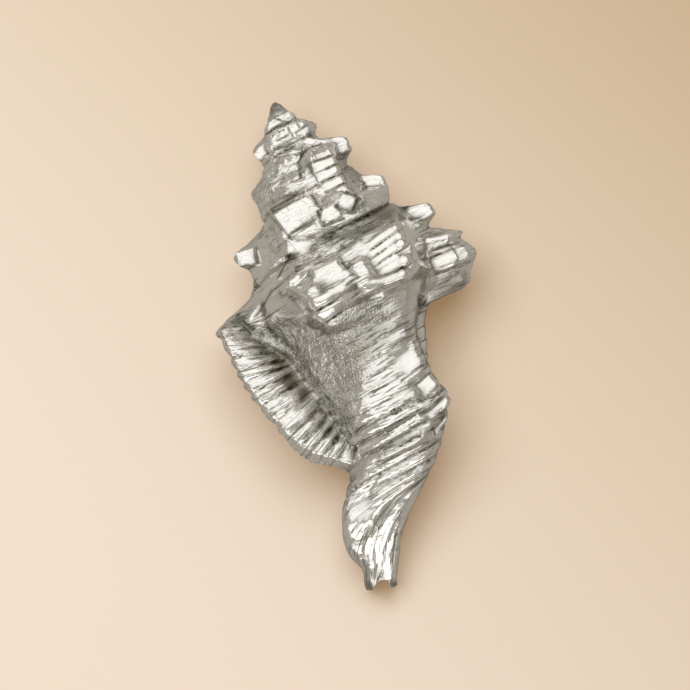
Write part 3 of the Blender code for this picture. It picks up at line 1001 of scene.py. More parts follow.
class _SilverNodes:
    """Lays out the nodes of the silver plating."""

    def __init__(self, material: bpy.types.Material, finish: SilverPlating) -> None:
        """Adds what colour and relief share: places, the fine lines' noise and the grain.

        Args:
            material: the empty material.
            finish: the finish that it is built from.
        """
        self.material = material
        self.finish = finish
        self.tree = material.node_tree
        self.place = self.node("ShaderNodeTexCoord").outputs["Object"]
        cord = self.node("ShaderNodeCombineXYZ")
        self.link(self.value(Part.CORD_X), cord.inputs["X"])
        self.link(self.value(Part.CORD_Y), cord.inputs["Y"])
        self.link(self.maths("MULTIPLY", self.value(Part.RUN), finish.run_cells), cord.inputs["Z"])
        self.along = cord.outputs["Vector"]
        stretched = self.node("ShaderNodeVectorMath", operation="MULTIPLY")
        stretched.inputs[1].default_value = finish.flake_shape
        self.link(self.place, stretched.inputs[0])
        self.stretched = stretched.outputs["Vector"]
        self.lines = self.noise(self.along, 1.25, 2.0, 0.55)
        self.fine_lines = self.noise(self.along, 2.4, 1.0, 0.5)
        self.grain = self.noise(self.place, finish.grain_cells, 3.0, 0.6)
        self.striae = self.value(Part.STRIAE)

    def node(self, kind: str, **settings: object) -> bpy.types.Node:
        """Adds a node.

        Args:
            kind: the node's type.
            settings: properties to set on it.

        Returns:
            The node.
        """
        made = self.tree.nodes.new(kind)
        for name, value in settings.items():
            setattr(made, name, value)
        return made

    def link(self, source: Socket, target: Socket) -> None:
        """Joins two sockets."""
        self.tree.links.new(source, target)

    def value(self, part: Part) -> Socket:
        """A named value of the mesh."""
        return self.node("ShaderNodeAttribute", attribute_name=part.value).outputs["Fac"]

    def maths(self, operation: str, first: object, second: object, clamp: bool = False) -> Socket:
        """A sum of two sockets or numbers.

        Args:
            operation: the kind of sum.
            first: socket or number.
            second: socket or number.
            clamp: keeps the result between 0 and 1.

        Returns:
            The socket with the result.
        """
        made = self.node("ShaderNodeMath", operation=operation, use_clamp=clamp)
        for socket, given in zip(made.inputs, (first, second)):
            if isinstance(given, Socket):
                self.link(given, socket)
            else:
                socket.default_value = given
        return made.outputs[0]

    def noise(self, where: Socket, scale: float, detail: float, rough: float) -> Socket:
        """Reads a noise texture.

        Args:
            where: the places to read it at.
            scale: waves per unit.
            detail: how many finer sets of waves are added.
            rough: how strong the finer sets are.

        Returns:
            The socket with the noise, about 0 to 1.
        """
        made = self.node("ShaderNodeTexNoise")
        made.inputs["Scale"].default_value = scale
        made.inputs["Detail"].default_value = detail
        made.inputs["Roughness"].default_value = rough
        self.link(where, made.inputs["Vector"])
        return made.outputs["Fac"]

    def ramp(self, where: Socket, low: float, high: float) -> Socket:
        """A smooth rise.

        Args:
            where: the value to read.
            low: value that gives 0.
            high: value that gives 1; below low it turns the rise round.

        Returns:
            The socket with the result.
        """
        made = self.node("ShaderNodeMapRange", interpolation_type="SMOOTHSTEP")
        made.inputs["From Min"].default_value = low
        made.inputs["From Max"].default_value = high
        self.link(where, made.inputs["Value"])
        return made.outputs["Result"]

    def cells(self, where: Socket, scale: float, feature: str) -> bpy.types.Node:
        """Splits places into uneven cells.

        Args:
            where: the places.
            scale: cells per unit.
            feature: what the node measures of the cells.

        Returns:
            The node.
        """
        made = self.node("ShaderNodeTexVoronoi", feature=feature)
        made.inputs["Scale"].default_value = scale
        self.link(where, made.inputs["Vector"])
        return made

    def tilted_cells(self, where: Socket, scale: float) -> Socket:
        """Small flat faces, each leaning its own way.

        Args:
            where: the places.
            scale: faces per unit.

        Returns:
            The socket with their height.
        """
        cells = self.cells(where, scale, "F1")
        offset = self.node("ShaderNodeVectorMath", operation="SUBTRACT")
        self.link(where, offset.inputs[0])
        self.link(cells.outputs["Position"], offset.inputs[1])
        lean = self.node("ShaderNodeVectorMath", operation="SUBTRACT")
        lean.inputs[1].default_value = (0.5, 0.5, 0.5)
        self.link(cells.outputs["Color"], lean.inputs[0])
        tilt = self.node("ShaderNodeVectorMath", operation="DOT_PRODUCT")
        self.link(offset.outputs["Vector"], tilt.inputs[0])
        self.link(lean.outputs["Vector"], tilt.inputs[1])
        return tilt.outputs["Value"]

    def cracks(self, where: Socket, scale: float, width: tuple[float, float]) -> Socket:
        """Lines between cells.

        Args:
            where: the places.
            scale: cells per unit.
            width: distances from a cell's edge that give 0 and 1.

        Returns:
            The socket with the result.
        """
        return self.ramp(self.cells(where, scale, "DISTANCE_TO_EDGE").outputs["Distance"], *width)

    def bump(self, height: Socket, depth: float, under: Socket | None = None) -> Socket:
        """A bump on top of another.

        Args:
            height: the bump's height, from 0 to 1.
            depth: the height of 1 in millimetres.
            under: the normal below it, if any.

        Returns:
            The socket with the normal.
        """
        made = self.node("ShaderNodeBump")
        made.inputs["Strength"].default_value = 1.0
        made.inputs["Distance"].default_value = depth * MM
        self.link(height, made.inputs["Height"])
        if under is not None:
            self.link(under, made.inputs["Normal"])
        return made.outputs["Normal"]

    def relief(self) -> Socket:
        """Stacks the flakes, chips, fine lines, crackle and grain.

        Returns:
            The socket with the normal.
        """
        finish = self.finish
        flakes = self.maths("MULTIPLY", self.tilted_cells(self.stretched, finish.flake_cells), 1.0 / MM)
        flakes = self.maths("MULTIPLY", flakes, self.value(Part.FLAKES))
        chips = self.maths("MULTIPLY", self.tilted_cells(self.along, finish.chip_cells), self.striae)
        scratched = self.ramp(self.fine_lines, *finish.fine_line_edge)
        scratched = self.maths("MULTIPLY", scratched, finish.fine_line_relief)
        lines = self.maths("ADD", self.ramp(self.lines, *finish.line_edge), scratched)
        lines = self.maths("MULTIPLY", lines, self.striae)
        dents = self.noise(self.place, finish.crackle_cells * 0.8, 4.0, 0.65)
        dents = self.maths("MULTIPLY", dents, finish.dent_share)
        crackle = self.cracks(self.place, finish.crackle_cells, finish.crackle_edge)
        crackle = self.maths("MULTIPLY", self.maths("ADD", crackle, dents), self.value(Part.CRACKLE))
        normal = self.bump(flakes, finish.flake_slope)
        normal = self.bump(chips, finish.chip_depth, normal)
        normal = self.bump(lines, finish.striae_depth, normal)
        normal = self.bump(crackle, finish.crackle_depth, normal)
        return self.bump(self.grain, finish.grain_depth, normal)

    def darkness(self) -> Socket:
        """Adds up the hollows with their tarnish and painted shade, the fine lines, the open cracks and the
        clouds.

        Returns:
            The socket with how dull the silver is, from 0 to 1.
        """
        finish = self.finish
        fine_lines = self.ramp(self.fine_lines, *finish.dark_fine_line)
        fine_lines = self.maths("MULTIPLY", fine_lines, finish.fine_line_darkness)
        lines = self.maths("MAXIMUM", self.ramp(self.lines, *finish.dark_line), fine_lines)
        lines = self.maths("MULTIPLY", lines, self.striae)
        lines = self.maths("MULTIPLY", lines, finish.line_darkness)
        flakes = self.cracks(self.stretched, finish.flake_cells, finish.crack_width)
        flakes = self.maths("MULTIPLY", flakes, self.ramp(self.value(Part.FLAKES), *finish.flake_edge))
        chips = self.cracks(self.along, finish.chip_cells, finish.crack_width)
        chips = self.maths("MULTIPLY", chips, self.striae)
        opened = self.ramp(self.noise(self.place, 330.0, 2.0, 0.5), *finish.open_crack)
        cracks = self.maths("MULTIPLY", self.maths("MAXIMUM", flakes, chips), opened)
        cracks = self.maths("MULTIPLY", cracks, finish.crack_darkness)
        clouds = self.ramp(self.noise(self.place, 120.0, 4.0, 0.6), *finish.cloud_edge)
        clouds = self.maths("MULTIPLY", clouds, finish.cloud_darkness)
        # Starts from the darkness in hollows, which holds tarnish and painted shade
        dark = self.value(Part.SHADE_AND_TARNISH)
        for more in (lines, cracks, clouds):
            dark = self.maths("ADD", dark, more, clamp=True)
        return dark

    def build(self) -> bpy.types.Material:
        """Lays out colour, roughness and relief.

        Returns:
            The finished material.
        """
        finish = self.finish
        shader = self.tree.nodes["Principled BSDF"]
        shader.inputs["Metallic"].default_value = 1.0
        shader.inputs["Specular Tint"].default_value = (*finish.edge, 1.0)
        self.link(self.relief(), shader.inputs["Normal"])
        dark = self.darkness()
        silver = mix_colours(self.tree, dark, finish.bright, finish.dull)
        stained = mix_colours(self.tree, self.value(Part.STAIN), silver, finish.brown)
        self.link(stained, shader.inputs["Base Color"])
        dullness = self.maths("MULTIPLY", self.grain, finish.grain_roughness)
        dullness = self.maths("ADD", dark, dullness, clamp=True)
        rough = self.node("ShaderNodeMapRange")
        rough.inputs["To Min"].default_value, rough.inputs["To Max"].default_value = finish.roughness
        self.link(dullness, rough.inputs["Value"])
        self.link(rough.outputs["Result"], shader.inputs["Roughness"])
        return self.material


@dataclass(frozen=True)
class Patch:
    """A soft oval patch of the back: its middle, half sizes and strength."""
    across: float
    down: float
    half_width: float
    half_height: float
    strength: float = 1.0

    def share_at(self, across: Grid, down: Grid, hardness: float) -> Grid:
        """Works out the patch.

        Args:
            across: places across.
            down: places down.
            hardness: how steep the patch's edge is.

        Returns:
            The patch's strength at each place.
        """
        away = np.hypot((across - self.across) / self.half_width, (down - self.down) / self.half_height)
        return self.strength * bell(away, hardness)


@dataclass
class Wear:
    """How much of each kind of surface the points of a skin have, from 0 to 1."""
    knobby: Grid
    trough: Grid
    flange: Grid
    # where the flange's inner foot is painted darker as shade
    flange_foot_shade: Grid
    polished: Grid
    smooth: Grid
    cut: Grid
    calm: Grid
    rough: Grid


@dataclass
class Skin:
    """The worked-out outside: a grid of points with the values that the finish reads."""
    angle: Grid
    down: Grid
    across: Grid
    up: Grid
    phase: Grid
    striae: Grid
    crackle: Grid
    flakes: Grid
    stain: Grid
    # tarnish with painted shade, which darkens the silver
    tarnish_and_shade: Grid
    line_x: Grid
    line_y: Grid
    run: Grid

    def points(self) -> Grid:
        """The grid's points in millimetres, with Y towards the apex."""
        return np.stack([self.across, -self.down, self.up], axis=-1)


@dataclass
class ConchShell:
    """The whole shell as one closed skin with its hollow cut in."""
    ring_count: int = 384
    ring_points: int = 244
    trial_points: int = 720
    first_angle: float = -45.0
    ring_crowding: float = 1.12
    back_crowding: float = 1.0
    tip_start: float = -0.7
    end_slant: float = 0.22
    # Sine of the angle round the axis over which the worked back begins
    back_edge: tuple[float, float] = (0.0, 0.35)
    # Height of a rib over which its top is polished
    smooth_fingers: tuple[float, float] = (0.1, 0.6)
    # How far calm places, the trough, worn faces and the lip's flange hush the fine relief
    calm_hush: float = 0.9
    trough_hush: float = 0.9
    worn_hush: float = 0.7
    flange_hush: float = 0.9
    # Depths over which the fine lines set in and the flakes thin out
    striae_start: tuple[float, float] = (34.0, 52.0)
    flakes_end: tuple[float, float] = (44.0, 66.0)
    # Where the lines are plainest on the base, and where its cords are highest: middle and half length
    base_middle: float = 107.0
    plain_base: float = 7.0
    cords_middle: float = 105.0
    cords_half: float = 9.0
    # How much higher the cords are on the base and on the knobs
    base_boost: float = 0.45
    knob_boost: float = 0.8
    # Crumples: waves per millimetre, how much finer the second set is, height outside and in the trough
    crumple_rate: float = 0.85
    crumple_finer: float = 2.1
    crumple_height: float = 0.05
    trough_crumple: float = 0.22
    growth_height: float = 0.06
    # What the finish reads on the walls of the hollow; their darkness is painted shade inside the mouth and
    # the canal's groove
    wall_values: tuple[tuple[Part, float], ...] = (
        (Part.STRIAE, 0.35), (Part.CRACKLE, 0.15), (Part.FLAKES, 0.0), (Part.SHADE_AND_TARNISH, 0.35),
        (Part.STAIN, 0.0))
    # How many neighbouring rings share their spacing, to either side
    spacing_span: int = 7
    coil: Coil = Coil()
    cords: Cords = Cords()
    spine: BigSpine = BigSpine()
    lip: OuterLip = OuterLip()
    mouth: Mouth = Mouth()
    finish: SilverPlating = SilverPlating()
    knobs: tuple[Knob, ...] = (
        Knob(5, 10.4, 10.1, 24, 2.1, 2.2), Knob(178, 11.9, 11.2, 22, 2.6, 2.4),
        Knob(8, 19.4, 17.3, 22, 3.4, 5.0), Knob(182, 24.6, 17.2, 20, 3.4, 2.2),
        Knob(6, 34.9, 22.9, 18, 3.8, 4.6), Knob(183, 41.0, 29.3, 13, 4.0, 2.6),
        Knob(2, 47.0, 33.8, 13, 3.4, 4.2), Knob(262, 18.0, 13.2, 22, 2.8, 2.2),
        Knob(285, 36.0, 25.0, 17, 4.2, 2.4), Knob(238, 39.0, 26.0, 15, 4.2, 2.4),
        Knob(306, 56.0, 36.0, 14, 6.5, 2.4))
    swellings: tuple[Swelling, ...] = (
        Swelling(6.8, 19.0, 8.4, 33.2, 3.4, 2.4, 2.2, 3.0, 0.8),
        Swelling(4.0, 55.6, 15.0, 55.6, 7.6, 2.6, 3.0, 3.0, 0.6),
        Swelling(-7.0, 60.0, 0.0, 58.0, 8.6, 3.2, 3.0, 3.0, 0.6),
        Swelling(-12.0, 53.0, -34.0, 60.5, 3.0, 2.4, 1.6, 2.2, 1.0),
        Swelling(20.0, 102.0, 0.0, 106.0, 4.0, 1.6, 2.0, 2.0, 1.0),
        Swelling(-9.0, 34.5, -1.0, 33.5, 4.2, 2.2, 3.0, 3.0, 0.8))
    ledges: tuple[Ledge, ...] = (
        # the old lip on the upper whorl, with its cliff to the right
        Ledge(((16.5, 8.6), (19, 11.0), (24, 11.7), (30, 12.0), (34, 12.6), (37.5, 12.4)),
              1.0, 7.5, 3.2, 1.6),
        # the right shoulder rises to the right and drops to the valley beside the big spine
        Ledge(((45.0, 21.5), (48.7, 24.8), (53.8, 25.0), (58.5, 24.0), (63.0, 22.0), (67.0, 18.5)),
              1.0, 20.0, 5.0, 4.6, 3.4),
        # the left shoulder rises to the left and drops into the trough
        Ledge(((50.0, -13.0), (53.8, -14.4), (57.0, -11.8), (62.0, -9.4), (67.0, -9.4), (70.0, -7.0),
               (73.0, -4.0)),
              -1.0, 16.0, 4.4, 4.0, 3.2),
        # the big flat knob of the upper whorl, with its cliff at the left
        Ledge(((28.0, -13.0), (31.4, -12.0), (36.0, -10.2), (40.5, -8.4), (44.0, -7.0)),
              -1.0, 13.0, 3.4, 1.4, 2.6),
    )
    fingers: tuple[Finger, ...] = (
        # the right shoulder's fingers, each with a bead at its right end
        Finger(10.5, 52.0, 22.8, 48.2, 1.6, 1.5, 1.0), Finger(11.0, 54.3, 22.3, 51.3, 1.2, 1.1, 1.2),
        Finger(11.0, 56.8, 22.3, 53.7, 1.6, 1.6, 1.1), Finger(11.5, 58.6, 18.6, 57.2, 1.0, 0.8),
        Finger(12.0, 60.2, 21.5, 58.9, 1.5, 1.4, 1.2), Finger(9.4, 62.8, 19.8, 63.0, 1.6, 1.5, 1.15),
        # the left shoulder's ribs, rounded at their left ends
        Finger(-5.0, 51.0, -10.6, 51.8, 1.3, 1.2), Finger(-10.6, 51.8, -16.0, 54.6, 1.5, 1.5),
        Finger(-5.0, 58.2, -12.6, 57.2, 1.7, 1.5), Finger(-1.0, 61.2, -9.6, 62.2, 2.0, 1.8),
        Finger(0.5, 64.6, -10.2, 66.9, 2.1, 2.0), Finger(-1.0, 68.4, -7.6, 70.0, 1.5, 1.2),
        # the fat beads of the thumb, and the rim at its left
        Finger(7.0, 19.9, 10.4, 19.7, 2.2, 1.5), Finger(7.4, 23.4, 10.8, 23.0, 1.9, 1.4),
        Finger(7.8, 26.6, 11.0, 26.1, 1.8, 1.4), Finger(7.8, 29.8, 11.0, 29.3, 1.8, 1.4),
        Finger(8.2, 32.6, 10.8, 32.1, 1.6, 1.2), Finger(3.0, 25.0, 3.8, 20.4, 2.0, 1.1),
        # crumbs on the first two whorls
        Finger(-3.4, 9.8, -2.0, 9.2, 1.0, 0.5), Finger(1.0, 12.0, 2.8, 11.6, 0.9, 0.5),
        Finger(4.4, 9.6, 6.2, 9.0, 0.9, 0.5), Finger(-0.6, 10.2, 0.8, 9.8, 0.8, 0.4),
        Finger(-1.8, 5.0, -0.4, 4.4, 0.7, 0.4), Finger(1.6, 5.4, 3.4, 5.0, 0.7, 0.4),
        # small lumps below the second whorl
        Finger(-7.4, 17.0, -6.4, 16.4, 1.3, 0.8), Finger(-4.4, 18.6, -3.0, 18.0, 1.4, 0.9),
        Finger(-1.4, 18.4, -0.2, 17.8, 1.3, 0.8), Finger(-6.2, 20.4, -5.4, 19.8, 1.0, 0.7),
        # the corner of the lip, and cords on the big spine
        Finger(-32.0, 64.4, -39.4, 59.6, 2.2, 1.4), Finger(27.5, 55.4, 39.5, 56.4, 1.3, 0.9),
        Finger(27.0, 59.2, 41.5, 59.6, 1.5, 0.8, 1.0), Finger(27.0, 63.0, 42.0, 63.2, 1.9, 0.9, 1.0),
        # the rolled rim from the left shoulder to the corner of the lip, and a lump below it
        Finger(-27.7, 57.9, -20.3, 52.4, 1.1, 0.9), Finger(-21.0, 52.8, -11.6, 50.2, 1.1, 0.9),
        Finger(-25.2, 62.4, -23.2, 62.8, 1.5, 0.9), Finger(-14.6, 55.6, -8.8, 52.8, 1.0, 0.9),
        # bold bars across the lower base
        Finger(-8.0, 113.0, 10.8, 110.8, 1.3, 1.2), Finger(-9.0, 109.2, 4.6, 106.9, 1.1, 0.6))
    grooves: tuple[Groove, ...] = (
        # round the big flat knob and its dark stroke
        Groove(-11.4, 30.4, -0.4, 29.2), Groove(-11.0, 31.7, -1.0, 30.5, 0.4),
        Groove(-7.9, 39.6, -0.8, 38.6, 0.55, 0.6), Groove(1.6, 31.0, 2.6, 36.4),
        Groove(-12.6, 32.2, -9.0, 40.6, 0.4),
        # round the two bright squares
        Groove(7.0, 36.6, 11.3, 40.4, 0.45, 0.6), Groove(11.5, 40.4, 14.9, 36.4, 0.5, 0.6),
        Groove(10.1, 32.8, 14.6, 36.0, 0.3), Groove(1.6, 41.0, 8.0, 41.0, 0.45, 0.5),
        Groove(1.4, 36.2, 1.6, 41.0, 0.4),
        # under the second whorl, round the dark oval, and along the thumb
        Groove(-4.4, 13.4, 1.0, 13.6), Groove(1.0, 13.6, 7.4, 13.0), Groove(-3.2, 7.2, 3.2, 6.9, 0.5, 0.5),
        Groove(0.2, 24.6, 1.0, 20.0, 0.4), Groove(1.0, 20.0, 4.0, 17.2, 0.4),
        Groove(4.0, 17.2, 9.6, 16.6, 0.4), Groove(4.6, 21.6, 12.0, 21.4, 0.3, 0.35),
        Groove(5.0, 25.0, 12.4, 24.6, 0.3, 0.35), Groove(5.4, 28.2, 12.6, 27.7, 0.3, 0.35),
        Groove(5.6, 31.4, 12.6, 30.9, 0.3, 0.35),
        # on the second whorl
        Groove(-1.2, 4.2, 1.6, 6.4, 0.25, 0.3), Groove(-3.6, 9.2, 0.4, 8.6, 0.3, 0.3),
        Groove(1.8, 8.4, 2.2, 11.4, 0.3, 0.3), Groove(-2.6, 11.2, 1.2, 10.8, 0.3, 0.3),
        Groove(3.6, 10.8, 7.6, 10.0, 0.3, 0.3), Groove(4.8, 8.0, 5.0, 9.8, 0.25, 0.3),
        # down the left ramp, between the shoulders, and on the spine
        Groove(-10.6, 45.4, -16.6, 51.0, 0.4, 0.3), Groove(-27.0, 59.4, -19.6, 54.0, 0.4, 0.4),
        Groove(-19.6, 54.0, -13.6, 52.4, 0.35, 0.3), Groove(3.0, 53.6, 6.0, 59.4, 0.4),
        Groove(30.0, 58.9, 39.0, 59.0, 0.4), Groove(29.6, 60.6, 39.5, 60.4, 0.4),
        Groove(29.0, 65.8, 40.0, 65.8, 0.5),
        # ragged lines on the base
        Groove(7.8, 92.4, 15.8, 90.3, 0.3, 0.4), Groove(11.5, 95.2, 17.0, 93.1, 0.28, 0.3),
        Groove(10.8, 100.0, 18.0, 97.4, 0.3, 0.4), Groove(9.0, 102.8, 15.6, 100.2, 0.28, 0.3),
        Groove(-2.0, 105.2, 9.6, 102.9, 0.45, 0.5), Groove(2.0, 100.6, 8.4, 98.6, 0.3, 0.4))
    facets: tuple[Facet, ...] = (
        # the upper whorls
        Facet(0.4, 5.2, 4.8, 1.3, -8, -0.05, 0.05, 0.5, 7.0),
        Facet(1.7, 10.1, 6.6, 2.5, -6, -0.05, 0.10, 0.7, 9.0),
        Facet(-9.0, 13.0, 2.6, 1.8, -16, 0.03, 0.10, 0.6, 7.0, to_edge=True),
        Facet(12.9, 18.2, 5.2, 3.1, 8, -0.06, 0.10, 1.1, 8.0, to_edge=True),
        Facet(6.6, 14.8, 1.6, 1.4, 40, -0.03, 0.09, 0.3, 5.0),
        Facet(-4.6, 20.8, 6.4, 3.0, -18, 0.04, 0.14, 0.1, 3.0, 0.7, 0.1),
        Facet(20.6, 32.4, 3.6, 2.6, 8, -0.05, 0.10, 1.0, 8.0, to_edge=True),
        Facet(31.0, 46.0, 3.8, 2.4, 6, -0.06, 0.10, 1.0, 8.0, to_edge=True),
        Facet(-23.8, 41.4, 3.8, 2.8, 8, 0.02, 0.10, 1.2, 8.0, to_edge=True),
        # the top of the thumb, the big flat knob, the two bright squares and the face below
        Facet(8.9, 19.9, 2.7, 1.8, 4, 0.0, 0.12, 0.2, 8.0, 1.0, 0.8),
        Facet(8.4, 26.2, 4.2, 8.2, 4, 0.02, 0.14, 1.6, 7.0, 0.62, 0.7),
        Facet(-5.2, 34.8, 7.0, 4.7, -16, -0.05, 0.10, 0.9, 9.0),
        Facet(10.8, 36.4, 2.5, 2.1, 38, -0.06, 0.10, 0.8, 14.0),
        Facet(4.8, 38.1, 2.8, 2.2, -8, -0.05, 0.10, 0.7, 14.0),
        Facet(-7.6, 44.2, 4.4, 2.4, 20, 0.0, 0.10, 0.3, 5.0),
        # the two shoulders
        Facet(17.4, 55.8, 7.4, 8.8, -10, -0.14, 0.08, 0.8, 6.0, 0.85, 0.0),
        Facet(6.8, 51.8, 4.4, 2.4, -14, -0.02, 0.06, 0.6, 5.0, 1.0, 0.5),
        Facet(7.6, 56.8, 1.5, 2.4, -6, -0.02, 0.06, 0.2, 5.0, 0.6, 0.5),
        Facet(-1.6, 55.2, 4.8, 3.6, -8, 0.02, 0.08, 0.7, 6.0),
        # the big spine
        Facet(33.4, 56.6, 5.6, 1.9, 0, -0.04, 0.08, 0.4, 5.0),
        Facet(33.6, 62.9, 5.4, 2.6, 0, -0.04, 0.06, 0.4, 7.0),
        # the right shoulder of the base, and the canal
        Facet(11.6, 87.6, 4.2, 5.0, -14, -0.12, 0.08, 0.1, 2.8, 0.75, 0.9),
        Facet(14.2, 95.8, 3.8, 3.4, -14, -0.15, 0.06, 0.0, 2.8, 0.75, 0.9),
        Facet(15.4, 103.4, 5.2, 1.5, -22, -0.12, 0.05, 0.5, 5.0, 0.9, 0.9),
        Facet(14.2, 109.2, 4.6, 1.2, -23, -0.12, 0.05, 0.5, 5.0, 0.9, 0.9),
        Facet(20.8, 75.8, 1.2, 5.0, 18, -0.05, 0.15, -1.0, 6.0, 0.9, 0.0, to_edge=True),
        Facet(-17.4, 124.2, 4.8, 6.6, 16, 0.03, 0.14, 0.3, 2.6, 0.75, 0.5))
    # Places left smooth
    calm_places: tuple[Patch, ...] = (
        Patch(26.0, 58.0, 3.0, 9.0), Patch(-13.4, 113.0, 3.0, 4.6), Patch(-15.5, 61.5, 3.2, 3.4),
        Patch(-23.0, 58.0, 7.0, 1.8), Patch(23.0, 70.0, 4.0, 6.0), Patch(17.0, 69.5, 5.5, 6.5),
        Patch(11.8, 87.0, 3.6, 4.4), Patch(14.2, 95.6, 3.2, 2.8), Patch(15.4, 103.4, 4.8, 1.4),
        Patch(17.0, 55.6, 8.0, 9.5), Patch(24.0, 50.0, 4.0, 6.0), Patch(-19.5, 47.5, 5.0, 8.0),
        Patch(-24.0, 55.0, 8.0, 4.0), Patch(21.0, 42.0, 6.0, 5.0), Patch(31.5, 70.6, 9.0, 3.6),
        Patch(2.0, 112.0, 9.0, 1.6), Patch(9.0, 26.5, 3.6, 8.0))
    # Places left rough
    rough_places: tuple[Patch, ...] = (
        Patch(21.3, 77.2, 1.8, 7.0), Patch(2.0, 72.0, 9.0, 6.0), Patch(-3.0, 82.0, 6.0, 6.0),
        Patch(15.8, 25.4, 3.0, 5.5), Patch(-12.0, 24.0, 3.4, 4.6), Patch(22.0, 40.5, 4.0, 3.0))
    # Places darkened by tarnish and by painted shade, such as the shadow right of the bright squares, the
    # valley below the shoulders and the inside of the canal's notch
    tarnish_and_shade_places: tuple[Patch, ...] = (
        Patch(0.2, 1.0, 3.6, 2.8, 0.95), Patch(-0.5, 14.2, 2.2, 1.3, 0.8), Patch(0.4, 7.2, 2.6, 0.6, 0.8),
        Patch(16.0, 26.0, 3.2, 5.0, 0.55), Patch(20.0, 43.5, 6.0, 2.6, 0.8),
        Patch(8.0, 46.2, 8.0, 3.0, 0.75), Patch(31.5, 70.6, 8.0, 2.8, 0.75),
        Patch(17.5, 70.0, 5.0, 5.0, 0.15), Patch(14.5, 106.6, 6.0, 1.2, 0.4),
        Patch(0.0, 110.2, 9.0, 1.0, 0.5), Patch(3.8, 23.0, 1.0, 2.2, 0.8), Patch(-3.6, 39.5, 3.4, 0.5, 0.9),
        Patch(12.8, 39.0, 2.4, 1.4, 0.9), Patch(-15.5, 61.5, 3.0, 3.2, 0.3),
        Patch(-13.0, 113.4, 2.4, 4.6, 0.2), Patch(2.0, 74.0, 11.0, 8.0, 0.6),
        Patch(2.0, 112.5, 9.0, 2.4, 0.3), Patch(-25.0, 74.4, 2.0, 1.3, 0.95),
        Patch(-24.4, 81.0, 1.8, 2.2, 0.95), Patch(-21.4, 86.0, 1.5, 1.7, 0.9),
        Patch(-28.0, 69.2, 1.5, 0.9, 0.8), Patch(-18.0, 92.6, 1.2, 1.2, 0.7),
        Patch(-23.6, 150.4, 2.6, 2.2, 0.9), Patch(-16.2, 151.8, 2.2, 1.8, 0.9),
        Patch(-19.6, 147.4, 3.0, 2.6, 0.6))
    # Brown stains
    stains: tuple[Patch, ...] = (
        Patch(-1.7, 80.5, 3.0, 3.0, 0.5), Patch(32.0, 70.6, 5.0, 5.0, 0.35),
        Patch(-5.0, 84.0, 4.0, 4.0, 0.25), Patch(-25.0, 74.6, 2.4, 2.4, 0.45),
        Patch(-24.4, 81.0, 2.4, 2.4, 0.45), Patch(-21.4, 86.0, 2.0, 2.0, 0.4))

    def __post_init__(self) -> None:
        """Makes the patterns of unevenness."""
        self.grain = Grain(11)
        self.fine_grain = Grain(29)

    def body(self, angle: Grid, down: Grid) -> tuple[Grid, Grid]:
        """Raises the knobs, the long spine and the outer lip on the coil.

        Args:
            angle: angle round the axis.
            down: depth along the axis.

        Returns:
            The radius, and how much of a knob or spine each point has.
        """
        radius = self.coil.radius(angle, down)
        knobby = np.zeros(angle.shape)
        for knob in self.knobs:
            radius, share = knob.raise_to(radius, angle, down)
            knobby = np.maximum(knobby, share)
        radius, spiny = self.spine.raise_to(radius, angle, down)
        return self.lip.flare(radius, angle, down), np.maximum(knobby, spiny)

    def wear_facets(self, across: Grid, down: Grid, up: Grid, upward: Grid) -> tuple[Grid, Grid]:
        """Lays the worn flat faces.

        Args:
            across: places across.
            down: places down.
            up: height of the skin.
            upward: sine of the angle round the axis.

        Returns:
            The new heights, and how polished each place is.
        """
        polished = np.zeros(up.shape)
        for facet in self.facets:
            up = facet.lay(across, down, up, upward)
            polished = np.maximum(polished, facet.polish * facet.share_at(across, down))
        return up, polished * fade_in(0.0, 0.1, fade_in(*self.back_edge, upward))

    def skin_at(self, angle: Grid, down: Grid, corded: bool) -> Skin:
        """Works out the outside.

        Args:
            angle: angles round the axis.
            down: depths along the axis.
            corded: adds the cords and fine relief.

        Returns:
            The skin at those places.
        """
        round_axis = angle % 360.0
        upward = sine(round_axis)
        on_back = fade_in(*self.back_edge, upward)
        radius, knobby = self.body(round_axis, down)
        across, up = self.coil.place(radius, round_axis, down)
        ribs, share, mask = self.lip.on_flange(across, down)
        trough = self.lip.trough(across, down, share) * on_back
        lift = highest(swelling.lift(across, down) for swelling in self.swellings)
        lift = lift + highest(ledge.lift(across, down) for ledge in self.ledges)
        lift = lift - self.lip.trough_depth * trough
        wander = self.grain.at(across * 0.3, down * 0.3, up * 0.1)
        up = self.lip.lay(up + on_back * lift, down, round_axis, (ribs, share, mask), wander)
        up, polished = self.wear_facets(across, down, up, upward)
        fingered = highest(finger.lift(across, down) for finger in self.fingers)
        cut = highest(groove.share_at(across, down) for groove in self.grooves)
        cut_depth = highest(groove.depth * groove.share_at(across, down) for groove in self.grooves)
        up = up + on_back * (fingered - cut_depth)
        smooth = fade_in(*self.smooth_fingers, fingered) * on_back
        wear = Wear(
            knobby, trough,
            flange=mask * fade_in(-0.30, -0.14, share) * fade_in(0.0, 0.12, on_back),
            flange_foot_shade=mask * on_back * bell(share / 0.2),
            polished=np.maximum(polished, smooth), smooth=smooth, cut=cut,
            calm=highest(patch.share_at(across, down, 3.0) for patch in self.calm_places) * on_back,
            rough=highest(patch.share_at(across, down, 3.0) for patch in self.rough_places) * on_back)
        skin = self.dress(angle, down, across, up, wear)
        on_lip = wear.flange > 0.5
        skin.line_x = np.where(on_lip, self.lip.line_spread * ribs, skin.line_x)
        skin.line_y = np.where(on_lip, 0.0, skin.line_y)
        skin.run = np.where(on_lip, self.lip.line_run * share, skin.run)
        if corded:
            self.add_relief(skin, wear)
        return skin

    def hush(self, wear: Wear) -> Grid:
        """How strong the fine relief is where the skin is calm, dull or worn, from 0 to 1."""
        hushed = (1.0 - self.calm_hush * wear.calm) * (1.0 - self.trough_hush * wear.trough)
        return hushed * (1.0 - self.worn_hush * wear.polished)

